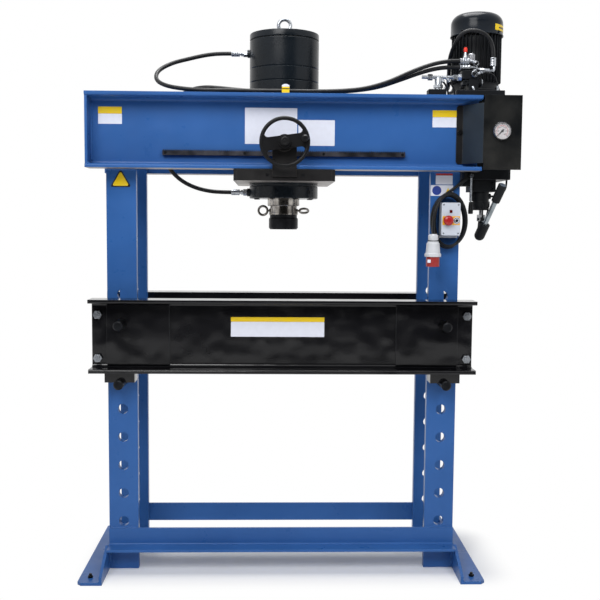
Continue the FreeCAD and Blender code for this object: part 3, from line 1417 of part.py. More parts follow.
def lower_hose():
    x, y, z = hose_start(PORT_LOW_Z)
    return [
        (x, y, z), (x - 46, y, z), (x - 100, y - 6, z + 4), (x - 158, y - 20, z + 18),
        (x - 214, y - 36, z + 46), (x - 258, y - 54, z + 90), (x - 283, y - 70, z + 146),
        (x - 291, y - 86, z + 210), (x - 283, y - 102, z + 276), (x - 262, y - 120, z + 335),
        (x - 228, y - 142, z + 388), (x - 180, y - 166, z + 424), (x - 124, y - 186, z + 438),
        (x - 60, y - 200, z + 434), (x + 6, INNER_HOSE_Y + 2, z + 418),
        (x + 80, INNER_HOSE_Y, ROD_REST + 5), (x + 180, INNER_HOSE_Y - 2, ROD_REST + 2.5),
        (x + 290, INNER_HOSE_Y, ROD_REST + 3), (x + 400, INNER_HOSE_Y + 1, ROD_REST + 5),
        (x + 500, INNER_HOSE_Y, ROD_REST + 10), (x + 600, INNER_HOSE_Y + 6, ROD_REST + 26),
        (x + 690, INNER_HOSE_Y + 14, ROD_REST + 58), (x + 773, INNER_HOSE_Y + 26, ROD_REST + 90),
        (x + 840, FITTING_Y - 4, ROD_REST + 109), (x + 892, FITTING_Y, LOWER_HOSE_END[2]),
        LOWER_HOSE_END,
    ]


def return_hose():
    x, y, z = RETURN_START
    end_x, end_y, end_z = RETURN_END
    return [
        (x, y, z), (x, y, z + 61), (x - 36, y + 2, z + 110), (x - 94, y + 8, z + 129),
        (x - 150, y + 26, z + 111), (x - 187, y + 60, z + 64), (x - 198, y + 106, z + 14),
        (x - 186, y + 160, z - 28), (end_x - 16, end_y - 72, end_z + 12),
        (end_x, end_y - 34, end_z), RETURN_END,
    ]


def short_hoses():
    lid = TANK_TOP + TOP_PLATE_THICK
    routes = []
    for x in STUB_X:
        x += STUB_LENGTH * STUB_WAY[0]
        z = PIPE_Z + STUB_LENGTH * STUB_WAY[2]
        routes.append((THIN_HOSE, [
            (x, PIPE_Y, z), (x + 14, PIPE_Y, z - 16.8),
            (x + 23, PIPE_Y, BEAM_TOP + 24), (x + 23, PIPE_Y, BEAM_TOP),
        ]))
    y = VALVE_BLOCK_Y[0] + 8
    routes.append((6.5, [
        (VALVE_BLOCK[1], y, lid + 45), (840, y, lid + 45), (866, y, lid + 29), (874, y, lid + 1),
    ]))
    side = PUMP_X + PUMP_BARREL / 2 + 6
    y = PUMP_Y - 6
    routes.append((THIN_HOSE, [
        (side, y, 1582), (side + 28, y, 1582), (side + 54, y, 1597), (side + 66, y, 1623),
        (side + 66, y, TANK_BOTTOM),
    ]))
    return [round_hose("short hose", diameter, route) for diameter, route in routes]


def coil_point(turns):
    """A point of the hanging coil's centreline: the turns vary a little, step to the front and
    at the end lean forward to the hanging plug."""
    angle = 2 * math.pi * turns
    back = HALF_DEPTH + CABLE_DIAMETER / 2 + 2
    wide = COIL_HALF_WIDTH - COIL_DRIFT * math.sin(1.9 * turns)
    high = COIL_HALF_HEIGHT - COIL_DRIFT * math.sin(1.3 * turns + 0.6)
    late = min(1.0, max(0.0, (turns - COIL_TURNS + 0.3) / 0.55))
    lean = COIL_LAST_DRIFT * late * late * (3 - 2 * late)
    return Vector(
        COIL_X - wide * math.sin(angle),
        -back - COIL_STEP * turns - lean,
        COIL_Z + high * math.cos(angle),
    )


def coil_way(turns):
    step = 1e-4
    way = coil_point(turns + step) - coil_point(turns - step)
    way.normalize()
    return way


COIL_START = 0.06
COIL_END = COIL_TURNS + 0.25


def mains_coil():
    """The hanging turns as one unbroken tube, ending straight down in the plug."""
    count = 4 * COIL_TURNS + 1
    stops = [COIL_START + (COIL_END - COIL_START) * k / count for k in range(count + 1)]
    ways = [coil_way(t) for t in stops]
    ways[-1] = Vector(0, 0, -1)
    edges = []
    for k in range(count):
        edges += two_arcs(coil_point(stops[k]), ways[k], coil_point(stops[k + 1]), ways[k + 1])
    last = coil_point(COIL_END)
    edges.append(Part.LineSegment(last, last + Vector(0, 0, -PLUG_DROP)).toShape())
    radii = [e.Curve.Radius for e in edges if hasattr(e.Curve, "Radius")]
    solid = swept("mains coil", CABLE_DIAMETER, edges, radii)
    samples = []
    for k in range(int(120 * (COIL_END - COIL_START))):
        turns = COIL_START + k / 120
        samples.append((turns, coil_point(turns)))
    least = min(
        (a - b).Length
        for turn_a, a in samples
        for turn_b, b in samples
        if turn_b - turn_a > 0.5
    )
    print("mains coil least gap %.2f mm" % (least - CABLE_DIAMETER))
    return solid


CABLE_START = (744.0, -183.0, 1648.0)


def mains_cable():
    end = coil_point(COIL_START)
    near = end - coil_way(COIL_START) * 34
    return [
        CABLE_START, (716.5, -183.4, 1622.5), (near.x, near.y, near.z), (end.x, end.y, end.z),
    ]


def cable_gland():
    way = Vector(27.5, 0.4, 25.5)
    way.normalize()
    start = Vector(*CABLE_START)
    gland = Part.makeCylinder(10, 22, start, way)
    return gland.fuse(block(740, 766, -HALF_DEPTH, -HALF_DEPTH - 24, 1652, 1678)).removeSplitter()


def mains_plug():
    """White body and cap, wide collar ring, and the red sleeve round the pins."""
    top = coil_point(COIL_END) - Vector(0, 0, PLUG_DROP)
    a = PLUG_TOP_DIAMETER / 2
    b = PLUG_FLANGE / 2
    body = turned(
        [
            (0, 0), (a * 0.75, 0), (a, -5), (a, -24), (a + 3, -30), (a + 3, -34), (b * 0.8, -38),
            (b * 0.88, -76), (b, -80), (b, -92), (b * 0.8, -92), (0, -92),
        ],
        (top.x, top.y, top.z),
    )
    sleeve_r = b * 0.82
    sleeve = turned(
        [
            (0, -92), (sleeve_r, -92), (sleeve_r, -PLUG_LENGTH), (sleeve_r - 3, -PLUG_LENGTH),
            (sleeve_r - 3, -97), (0, -97),
        ],
        (top.x, top.y, top.z),
    )
    return [body, sleeve]


# ---- all pieces, in the press's own frame ----------------------------------------------------
def mirrored(shapes):
    return [s.mirror(Vector(0, 0, 0), Vector(1, 0, 0)) for s in shapes]


def pieces():
    front_beam = beam_channel()
    front_table = table_channel()
    left_posts = posts()
    left_foot = foot()
    rail = base_rail()
    rollers = roller_places()
    nodes = {
        "beam_front_channel": [front_beam],
        "beam_rear_channel": [front_to_rear(front_beam)],
        "posts_left": left_posts,
        "posts_right": mirrored(left_posts),
        "foot_left": [left_foot],
        "foot_right": mirrored([left_foot]),
        "base_rails": [rail, front_to_rear(rail)],
        "rack": [rack()],
        "table_front_channel": [front_table],
        "table_rear_channel": [front_to_rear(front_table)],
        "table_ties": table_ties(),
        "saddle_blocks": saddle_blocks(),
        "pin_lower_left": [pin(-POST_X, LOWER_PIN_Z)],
        "pin_lower_right": [pin(POST_X, LOWER_PIN_Z)],
        "pin_upper_left": [pin(-POST_X, UPPER_PIN_Z)],
        "pin_upper_right": [pin(POST_X, UPPER_PIN_Z)],
        "carriage_plate": [carriage_plate()],
        "hanger_brackets": hanger_brackets(),
        "track_roller_front_left": [track_roller(rollers[0])],
        "track_roller_front_right": [track_roller(rollers[1])],
        "track_roller_rear_left": [track_roller(rollers[2])],
        "track_roller_rear_right": [track_roller(rollers[3])],
        "cylinder_barrel": [cylinder_barrel()],
        "cylinder_gland": [cylinder_gland()],
        "cylinder_cap": [cylinder_cap()],
        "lifting_eye": [lifting_eye()],
        "cylinder_fittings": cylinder_fittings(),
        "piston": [piston()],
        "ram_rod": [ram_rod()],
        "ram_nose": [ram_nose()],
        "ram_eyes": ram_eyes(),
        "pinion_shaft": [pinion_shaft()],
        "handwheel": [handwheel()],
        "spinner_knob": [spinner_knob()],
        "oil_tank": [oil_tank()],
        "motor_housing": [motor_housing()],
        "motor_fan_cover": [fan_cover()],
        "motor_rotor": [motor_rotor()],
        "motor_fan": [motor_fan()],
        "valve_block": [valve_block()],
        "relief_knob": [relief_knob()],
        "pack_fittings": pack_fittings(),
        "gauge_panel": [gauge_panel()],
        "gauge_case": [gauge_case()],
        "gauge_needle": [gauge_needle()],
        "hand_pump_body": pump_body(),
        "hand_valve": [hand_valve(), cable_gland()],
        "valve_lever": valve_lever(),
        "pump_plunger": [pump_plunger()],
        "pump_lever": [pump_lever()],
        "switch_box": switch_box(),
        "stop_button": [stop_button()],
        "start_button": [start_button()],
        "hose_upper": [round_hose("upper hose", HOSE_DIAMETER, upper_hose())],
        "hose_lower": [round_hose("lower hose", HOSE_DIAMETER, lower_hose())],
        "hose_return": [round_hose("return hose", HOSE_DIAMETER, return_hose())],
        "short_hoses": short_hoses(),
        "mains_cable": [round_hose("mains cable", CABLE_DIAMETER, mains_cable())],
        "mains_coil": [mains_coil()],
        "mains_plug": mains_plug(),
    }
    return nodes


CORD_NODES = (
    "hose_upper", "hose_lower", "hose_return", "mains_cable", "mains_coil", "mains_plug",
)


def base_centre(nodes):
    """Middle of the press's outline on the floor, without its free hoses and cable."""
    box = FreeCAD.BoundBox()
    for name, solids in nodes.items():
        if name not in CORD_NODES:
            for solid in solids:
                box.add(solid.BoundBox)
    return Vector((box.XMin + box.XMax) / 2, (box.YMin + box.YMax) / 2, box.ZMin)


def main():
    os.makedirs("parts", exist_ok=True)
    nodes = pieces()
    origin = base_centre(nodes)
    print("origin moved to", [round(v, 4) for v in origin])
    for name, solids in nodes.items():
        moved = []
        for solid in solids:
            copy = solid.copy()
            copy.translate(origin * -1)
            moved.append(copy)
        shape = moved[0] if len(moved) == 1 else Part.makeCompound(moved)
        shape.exportStep("parts/%s.step" % name)


main()
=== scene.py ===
import math
import bmesh
import bpy
from mathutils import Matrix, Vector


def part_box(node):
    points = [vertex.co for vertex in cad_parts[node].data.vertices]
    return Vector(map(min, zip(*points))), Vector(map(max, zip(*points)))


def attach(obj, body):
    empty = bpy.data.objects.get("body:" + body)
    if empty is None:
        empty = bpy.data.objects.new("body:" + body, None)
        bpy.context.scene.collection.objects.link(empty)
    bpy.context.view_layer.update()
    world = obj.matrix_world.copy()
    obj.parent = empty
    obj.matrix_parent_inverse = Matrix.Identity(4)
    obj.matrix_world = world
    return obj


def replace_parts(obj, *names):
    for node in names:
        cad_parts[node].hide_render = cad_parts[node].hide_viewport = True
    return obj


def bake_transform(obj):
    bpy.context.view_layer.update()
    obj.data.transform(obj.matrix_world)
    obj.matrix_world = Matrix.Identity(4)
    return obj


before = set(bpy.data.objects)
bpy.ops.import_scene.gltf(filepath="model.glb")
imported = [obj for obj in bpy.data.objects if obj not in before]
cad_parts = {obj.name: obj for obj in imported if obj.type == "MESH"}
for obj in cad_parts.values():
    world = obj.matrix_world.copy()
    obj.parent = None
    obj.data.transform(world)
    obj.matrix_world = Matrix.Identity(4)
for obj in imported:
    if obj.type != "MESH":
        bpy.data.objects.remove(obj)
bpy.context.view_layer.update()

# ---- Camera ----------------------------------------------------------------------------------
# The press is seen from the operator's side, a little left of its middle and at the height of
# the cylinder's nose, from about four metres away. Yaw, pitch and roll are its aim in degrees.
middle = (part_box("posts_left")[0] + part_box("posts_right")[1]) / 2


def place(x, y, z):
    """A point in millimetres from the press's middle at floor level, in the frame's metres."""
    return Vector((middle.x + x / 1000, middle.y + y / 1000, z / 1000))


yaw, pitch, roll = (math.radians(angle) for angle in (1.688, 4.779, 0.437))
ahead = Vector((math.sin(yaw) * math.cos(pitch), math.cos(yaw) * math.cos(pitch), -math.sin(pitch)))
level = Vector((math.cos(yaw), -math.sin(yaw), 0))
upright = level.cross(ahead)
view_right = level * math.cos(roll) + upright * math.sin(roll)
view_up = upright * math.cos(roll) - level * math.sin(roll)
camera = bpy.data.objects.new("camera", bpy.data.cameras.new("camera"))
camera.data.lens = 54.68
camera.data.sensor_width = 36
camera.matrix_world = (
    Matrix.Translation(place(-42.0, -3945.9, 1461.3))
    @ Matrix((view_right, view_up, -ahead)).transposed().to_4x4()
)
bpy.context.scene.collection.objects.link(camera)
bpy.context.scene.camera = camera
bpy.context.scene.view_settings.view_transform = "Standard"


# ---- Light -----------------------------------------------------------------------------------
# A plain studio: two large soft lamps high in front and one overhead, in a faint white room. The
# fill lamp lights the paint but isn't mirrored in it, so that the gloss stays dark on that side.
def linear(colour):
    """An sRGB hex colour as linear red, green, blue and alpha."""
    parts = [int(colour[k : k + 2], 16) / 255 for k in (1, 3, 5)]
    return (*[c / 12.92 if c <= 0.04045 else ((c + 0.055) / 1.055) ** 2.4 for c in parts], 1.0)


def add(tree, kind, settings=None, links=None):
    """Adds a shader node; a setting goes to the socket of that name, or else to the property."""
    node = tree.nodes.new("ShaderNode" + kind)
    for name, value in (settings or {}).items():
        if isinstance(name, int) or name in node.inputs:
            node.inputs[name].default_value = value
        else:
            setattr(node, name, value)
    for name, source in (links or {}).items():
        tree.links.new(source, node.inputs[name])
    return node


def looked_at(tree):
    """One where the camera, a reflection or a pane of glass looks, nought for lighting rays."""
    rays = add(tree, "LightPath")
    seen = add(tree, "Math", {"operation": "MAXIMUM"}, {
        0: rays.outputs["Is Camera Ray"], 1: rays.outputs["Is Glossy Ray"]})
    seen = add(tree, "Math", {"operation": "MAXIMUM"}, {
        0: seen.outputs[0], 1: rays.outputs["Is Transmission Ray"]})
    return seen.outputs[0]


world = bpy.data.worlds.new("studio")
bpy.context.scene.world = world
world.use_nodes = True
sky = world.node_tree
sky.nodes.clear()
soft_light = add(sky, "Background", {"Color": linear("#f4f7ff"), "Strength": 0.14})
white = add(sky, "Background", {"Color": (1, 1, 1, 1), "Strength": 1.0})
both = add(sky, "MixShader", None, {
    0: looked_at(sky), 1: soft_light.outputs[0], 2: white.outputs[0]})
add(sky, "OutputWorld", None, {"Surface": both.outputs[0]})

for name, where, width_m, watts in (
    ("key_lamp", (-1500, -4100, 4500), 2.6, 165),
    ("fill_lamp", (1800, -4000, 3700), 2.0, 85),
    ("top_lamp", (200, 300, 5400), 2.6, 190),
):
    lamp = bpy.data.objects.new(name, bpy.data.lights.new(name, "AREA"))
    lamp.data.size = width_m
    lamp.data.energy = watts
    lamp.location = place(*where)
    lamp.rotation_euler = (place(0, 0, 1250) - lamp.location).to_track_quat("-Z", "Y").to_euler()
    lamp.visible_glossy = name != "fill_lamp"
    bpy.context.scene.collection.objects.link(lamp)


# ---- Dark cloth and floor --------------------------------------------------------------------
# A black cloth hangs behind the camera, where only the gloss sees it, and gives the paint its
# dark half. The pale floor keeps the shadow and runs out into the white background.
def new_finish(name):
    """A new material, its node tree and its surface shader."""
    made = bpy.data.materials.new(name)
    made.use_nodes = True
    return made, made.node_tree, made.node_tree.nodes["Principled BSDF"]


def stage_piece(name, mesh, finish):
    """Links a piece of the studio, which isn't part of the press."""
    data = bpy.data.meshes.new(name)
    mesh.to_mesh(data)
    mesh.free()
    data.materials.append(finish)
    piece = bpy.data.objects.new(name, data)
    bpy.context.scene.collection.objects.link(piece)
    return piece


# Black stage cloth, napped wool: it gives nothing back but a trace of its weave.
wool, tree, _ = new_finish("black_stage_wool")
tree.nodes.clear()
weave = add(tree, "TexNoise", {"Scale": 4, "Detail": 3})
shade = add(tree, "MapRange", {3: 0.01, 4: 0.05}, {0: weave.outputs["Fac"]})
nap = add(tree, "BsdfDiffuse", None, {"Color": shade.outputs[0]})
add(tree, "OutputMaterial", None, {"Surface": nap.outputs[0]})
hung = bmesh.new()
bmesh.ops.create_grid(hung, x_segments=1, y_segments=1, size=1.0, matrix=(
    Matrix.Translation(place(0, -6800, 2500)) @ Matrix.Rotation(math.radians(90), 4, "X")
    @ Matrix.Diagonal((5.2, 2.45, 1, 1))))
cloth = stage_piece("dark_cloth", hung, wool)
cloth.visible_camera = cloth.visible_diffuse = cloth.visible_shadow = False

# Pale painted concrete: near the press it takes the shadow, further out it is the white page.
pale_floor, tree, _ = new_finish("pale_floor")
tree.nodes.clear()
spot = add(tree, "TexCoord").outputs["Object"]
grain = add(tree, "TexNoise", {"Scale": 1.2}, {"Vector": spot})
tint = add(tree, "ValToRGB", None, {"Fac": grain.outputs["Fac"]})
tint.color_ramp.elements[0].color = linear("#f3f4f6")
tint.color_ramp.elements[1].color = linear("#f9f9fa")
near = add(tree, "BsdfDiffuse", None, {"Color": tint.outputs["Color"]})
page = add(tree, "Emission", {"Color": (1, 1, 1, 1), "Strength": 1.0})
# the shadow fades out over 200 mm round a field of 1480 by 400 mm
away = add(tree, "VectorMath", {"operation": "ABSOLUTE"}, {0: spot})
away = add(tree, "VectorMath", {"operation": "SUBTRACT", 1: (0.74, 0.20, 0)}, {
    0: away.outputs["Vector"]})
away = add(tree, "VectorMath", {"operation": "MAXIMUM", 1: (0, 0, 0)}, {
    0: away.outputs["Vector"]})
reach = add(tree, "VectorMath", {"operation": "LENGTH"}, {0: away.outputs["Vector"]})
fade = add(tree, "MapRange", {"interpolation_type": "SMOOTHSTEP", 1: 0.0, 2: 0.20}, {
    0: reach.outputs["Value"]})
amount = add(tree, "Math", {"operation": "MULTIPLY"}, {
    0: looked_at(tree), 1: fade.outputs[0]})
mixed = add(tree, "MixShader", None, {
    0: amount.outputs[0], 1: near.outputs[0], 2: page.outputs[0]})
add(tree, "OutputMaterial", None, {"Surface": mixed.outputs[0]})
ground = bmesh.new()
bmesh.ops.create_circle(ground, cap_ends=True, radius=14.0, segments=96)
bmesh.ops.translate(ground, verts=ground.verts, vec=(middle.x, middle.y, -0.0005))
stage_piece("floor", ground, pale_floor)


# ---- Welded frame ----------------------------------------------------------------------------
# Two rolled channels over four flat-bar posts on angle feet, with angle rails at the bottom.
# Mild steel, arc welded, then sprayed with a glossy blue machine enamel over primer.
def tone_and_shine(tree, skin, stains, colours, spread, marks, roughness):
    """Gives a surface its roughness from a pattern of marks, and returns its stained colour."""
    shine = add(tree, "MapRange", {1: 0.3, 2: 0.7, 3: roughness[0], 4: roughness[1]}, {
        0: marks.outputs["Fac"]})
    tree.links.new(shine.outputs[0], skin.inputs["Roughness"])
    tone = add(tree, "ValToRGB", None, {"Fac": stains.outputs["Fac"]})
    for stop, position, colour in zip(tone.color_ramp.elements, spread, colours):
        stop.position = position
        stop.color = linear(colour)
    return tone.outputs["Color"]


def enamel(name, low, high, gloss, peel=0.0004, wave=0.0016, edge=None, glance=0.3, patch=3.3):
    """Sprayed enamel on steel, or a moulded skin like it. Its tone drifts in patch clouds a
    metre, it has orange peel of 4 mm and rolled waves of 110 mm, and where edge gives a colour
    its soft corners take it in ragged patches: a painted highlight on the blue enamel, worn paint
    on the scuffed, satin and slate paints. Peel and wave are heights in metres, glance the mirroring."""
    made, tree, skin = new_finish(name)
    skin.inputs["IOR"].default_value = 1.5
    skin.inputs["Specular IOR Level"].default_value = glance
    spot = add(tree, "TexCoord").outputs["Object"]
    patches = add(tree, "TexNoise", {"Scale": patch, "Detail": 4, "Roughness": 0.55}, {"Vector": spot})
    dust = add(tree, "TexNoise", {"Scale": 14, "Detail": 5, "Roughness": 0.6}, {"Vector": spot})
    colour = tone_and_shine(tree, skin, patches, (low, high), (0.30, 0.72), dust, gloss)
    corners = add(tree, "Bevel", {"samples": 4, "Radius": 0.0018})
    if edge:
        flat = add(tree, "NewGeometry")
        across = add(tree, "VectorMath", {"operation": "DOT_PRODUCT"}, {
            0: corners.outputs["Normal"], 1: flat.outputs["Normal"]})
        # lighter corners: a painted highlight on the blue enamel, worn paint on the scuffed, satin and
        # slate paints
        corner_noise = add(tree, "TexNoise", {"Scale": 160, "Detail": 3}, {"Vector": spot})
        ragged = add(tree, "Math", {"operation": "MULTIPLY_ADD", 1: 0.16}, {
            0: corner_noise.outputs["Fac"], 2: across.outputs["Value"]})
        worn_and_lit_corners = add(tree, "MapRange", {1: 1.045, 2: 0.985, 3: 0.0, 4: 0.8}, {
            0: ragged.outputs[0]})
        mixed = add(tree, "Mix", {"data_type": "RGBA", 7: linear(edge)}, {
            0: worn_and_lit_corners.outputs[0], 6: colour})
        colour = mixed.outputs[2]
    tree.links.new(colour, skin.inputs["Base Color"])
    swell = add(tree, "TexNoise", {"Scale": 9, "Detail": 1}, {"Vector": spot})
    rolled = add(tree, "Bump", {"Strength": 1.0, "Distance": wave}, {
        "Height": swell.outputs["Fac"], "Normal": corners.outputs["Normal"]})
    pores = add(tree, "TexNoise", {"Scale": 250, "Detail": 2}, {"Vector": spot})
    orange = add(tree, "Bump", {"Strength": 0.35, "Distance": peel}, {
        "Height": pores.outputs["Fac"], "Normal": rolled.outputs["Normal"]})
    tree.links.new(orange.outputs["Normal"], skin.inputs["Normal"])
    return made


def plain_metal(name, low, high, roughness, metal=1.0, grain=(400, 400, 400), relief=0.0001):
    """Metal without paint; grain gives the marks per metre along each axis."""
    made, tree, skin = new_finish(name)
    skin.inputs["Metallic"].default_value = metal
    spot = add(tree, "TexCoord").outputs["Object"]
    lay = add(tree, "Mapping", {"Scale": grain}, {"Vector": spot})
    marks = add(tree, "TexNoise", {"Scale": 1.0, "Detail": 4, "Roughness": 0.6}, {
        "Vector": lay.outputs["Vector"]})
    stains = add(tree, "TexNoise", {"Scale": 22, "Detail": 4}, {"Vector": spot})
    colour = tone_and_shine(tree, skin, stains, (low, high), (0.35, 0.68), marks, roughness)
    tree.links.new(colour, skin.inputs["Base Color"])
    corners = add(tree, "Bevel", {"samples": 4, "Radius": 0.0006})
    scratch = add(tree, "Bump", {"Strength": 0.5, "Distance": relief}, {
        "Height": marks.outputs["Fac"], "Normal": corners.outputs["Normal"]})
    tree.links.new(scratch.outputs["Normal"], skin.inputs["Normal"])
    return made


# Blue machine enamel: a mid blue with long soft reflections and a fine orange-peel skin.
# # Its edge colour, a lighter blue, is a painted highlight along every corner.
blue_enamel = enamel(
    "blue_machine_enamel", "#2c5793", "#3461a0", (0.26, 0.38), edge="#4c76b2", glance=0.2)
# Hot-rolled steel left bare where the carriage plate slides: dull warm grey.
bare_plate = plain_metal(
    "bare_rolled_steel", "#8d888a", "#aaa5a6", (0.42, 0.6), metal=0.6, grain=(20, 300, 300))


def dress(node, *finishes, choose=None):
    """Gives a CAD node its finishes; choose(face centre in mm, normal) picks one by number."""
    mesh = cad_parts[node].data
    mesh.materials.clear()
    for one in finishes:
        mesh.materials.append(one)
    for face in mesh.polygons:
        at = ((face.center.x - middle.x) * 1000, (face.center.y - middle.y) * 1000,
              face.center.z * 1000)
        face.material_index = choose(at, face.normal) if choose else 0


BEAM_UNDER = 1680
for node in ("posts_left", "posts_right", "foot_left", "foot_right", "base_rails"):
    dress(node, blue_enamel)
for node in ("beam_front_channel", "beam_rear_channel"):
    dress(node, blue_enamel, bare_plate,
          choose=lambda at, way: int(way.z < -0.9 and at[2] < BEAM_UNDER + 1))


def outward(mesh):
    """Turns the faces of every shell the same way, and those of a closed shell outward."""
    bmesh.ops.recalc_face_normals(mesh, faces=mesh.faces)
    mesh.normal_update()
    left = set(mesh.faces)
    while left:
        shell, front = [], [left.pop()]
        while front:
            face = front.pop()
            shell.append(face)
            near = {other for edge in face.edges for other in edge.link_faces} & left
            left -= near
            front += near
        closed = all(edge.is_manifold for face in shell for edge in face.edges)
        if closed and sum(f.calc_center_median().dot(f.normal) * f.calc_area() for f in shell) < 0:
            bmesh.ops.reverse_faces(mesh, faces=shell)


def new_piece(name, mesh, finish, body, sharp=35):
    """Links a finished mesh, shades it and lets it ride on its body."""
    bmesh.ops.remove_doubles(mesh, verts=mesh.verts, dist=1e-6)
    outward(mesh)
    data = bpy.data.meshes.new(name)
    mesh.to_mesh(data)
    mesh.free()
    data.materials.append(finish)
    data.shade_smooth()
    data.set_sharp_from_angle(angle=math.radians(sharp))
    piece = bpy.data.objects.new(name, data)
    bpy.context.scene.collection.objects.link(piece)
    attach(piece, body)
    return piece


def lay_bead(mesh, start, end, one_side, other_side, width=7.0):
    """One fillet weld with its ripples every 4.5 mm, from start to end in the corner between
    two faces, which run away from it along one_side and other_side."""
    start, end = Vector(start), Vector(end)
    a, b = Vector(one_side), Vector(other_side)
    length = (end - start).length
    along = (end - start).normalized()
    count = max(6, int(length / 1.5))
    rings = []
    for k in range(count + 1):
        s = length * k / count
        swell = 1 + 0.10 * math.sin(2 * math.pi * s / 4.5) + 0.07 * math.sin(s * 0.31)
        tail = min(1.0, (0.35 + min(s, length - s) / 3.0))
        ring = []
        for j in range(6):
            turn = math.pi / 2 * j / 5
            fat = width * swell * tail * (0.80 + 0.20 * abs(math.cos(2 * turn)))
            out = start + along * s + (a * math.cos(turn) + b * math.sin(turn)) * fat
            ring.append(mesh.verts.new(place(*out)))
        ring.append(mesh.verts.new(place(*(start + along * s - (a + b) * 0.4))))
        rings.append(ring)
    for one, two in zip(rings, rings[1:]):
        for j in range(len(one)):
            n = (j + 1) % len(one)
            mesh.faces.new((one[j], one[n], two[n], two[j]))
    mesh.faces.new(rings[0])
    mesh.faces.new(reversed(rings[-1]))


POST_INNER, POST_OUTER = 607, 727
POST_FACE = 168
WEB_FACE = 178
FOOT_TOP = 12
RAIL_TOP = 177
weld = bmesh.new()
for side in (-1, 1):
    for way in (-1, 1):
        face_y = POST_FACE * way
        # under the channel's flange, on the foot's leg, over the rail's top edge, round the foot
        lay_bead(weld, (side * POST_INNER, face_y, BEAM_UNDER), (side * POST_OUTER, face_y, BEAM_UNDER),
                 (0, way, 0), (0, 0, -1))
        lay_bead(weld, (side * (POST_OUTER + 1), face_y, FOOT_TOP + 1),
                 (side * (POST_OUTER + 1), face_y, 96), (0, way, 0), (-side, 0, 0))
        lay_bead(weld, (side * (POST_INNER + 1), face_y, RAIL_TOP), (side * POST_OUTER, face_y, RAIL_TOP),
                 (0, way, 0), (0, 0, 1), 6)
        lay_bead(weld, (side * 740, face_y * 0.82, FOOT_TOP + 0.5),
                 (side * 740, face_y * 1.55, FOOT_TOP + 0.5), (side, 0, 0), (0, 0, 1), 5)
for way in (-1, 1):
    # the end plate on the channel's web and on its lower flange
    lay_bead(weld, (-785, WEB_FACE * way, 1712), (-785, WEB_FACE * way, 1948), (1, 0, 0), (0, way, 0), 6)
    lay_bead(weld, (-784, 186 * way, 1696), (-784, 262 * way, 1696), (1, 0, 0), (0, 0, 1), 6)
new_piece("frame_welds", weld, blue_enamel, "frame", sharp=60)

UP, DOWN, LEFT, RIGHT, FRONT, BACK = (0, 0, 1), (0, 0, -1), (-1, 0, 0), (1, 0, 0), (0, -1, 0), (0, 1, 0)


def spun(mesh, profile, centre, axis, steps=40, twist=0.0, flutes=0, flute_depth=0.0):
    """Adds a turned shape: profile is (radius, height) in mm along axis from centre."""
    axis = Vector(axis).normalized()
    helper = Vector(RIGHT if abs(axis.x) < 0.9 else BACK)
    u = axis.cross(helper).normalized()
    v = axis.cross(u)
    centre = Vector(centre)
    rings = []
    for radius, height in profile:
        ring = []
        for k in range(steps if radius > 1e-6 else 1):
            turn = 2 * math.pi * k / steps + twist
            r = max(0.0, radius - flute_depth * (0.5 + 0.5 * math.cos(flutes * turn)))
            ring.append(mesh.verts.new(place(
                *(centre + axis * height + (u * math.cos(turn) + v * math.sin(turn)) * r))))
        rings.append(ring)
    for one, two in zip(rings, rings[1:]):
        if len(one) == 1 and len(two) == 1:
            continue
        for k in range(steps):
            n = (k + 1) % steps
            if len(one) == 1:
                mesh.faces.new((one[0], two[n], two[k]))
            elif len(two) == 1:
                mesh.faces.new((one[k], one[n], two[0]))
            else:
                mesh.faces.new((one[k], one[n], two[n], two[k]))


def spokes(count, first=0.0):
    """Level directions, evenly round the vertical from first, in degrees."""
    turns = [math.radians(first + 360 * k / count) for k in range(count)]
    return [Vector((math.cos(turn), math.sin(turn), 0)) for turn in turns]


def hex_bolt(mesh, centre, flats, head, washer=0.0, stud=0.0, axis=UP):
    """A hexagon head with its chamfered crown on a washer, and the stud's end above a nut."""
    corner = flats / math.sqrt(3)
    low = 2.6 if washer else 0.0
    if washer:
        spun(mesh, [(0, 0), (washer, 0), (washer, 2.2), (washer - 0.6, low), (0, low)], centre, axis, 36)
    spun(mesh, [(0, low), (corner * 0.94, low), (corner, low + 0.8), (corner, low + head - 1.2),
                (corner * 0.88, low + head), (0, low + head)], centre, axis, 6, twist=0.3)
    if stud:
        r = flats * 0.32
        profile = [(0, low)]
        for k in range(int(stud / 2)):
            profile += [(r, low + head + 2 * k), (r * 0.9, low + head + 2 * k + 1)]
        profile += [(r * 0.8, low + head + stud), (0, low + head + stud)]
        spun(mesh, profile, centre, axis, 24)


# Zinc-plated steel: pale blue-grey metal, softly bright, of the ties and hose unions.
zinc_plate = plain_metal("zinc_plated_steel", "#9398a0", "#c6cacf", (0.20, 0.32))
# Black-oxide steel: near black with a low dull shine, of screws, pins and the ram's nose.
black_oxide = plain_metal(
    "black_oxide_steel", "#101114", "#1e2024", (0.34, 0.52), metal=0.8, grain=(200, 200, 200))
anchors = bmesh.new()
for side in (-1, 1):
    for way in (-1, 1):
        hex_bolt(anchors, (side * 784, way * 300, FOOT_TOP), 19, 9, stud=8)
new_piece("floor_anchors", anchors, black_oxide, "frame")


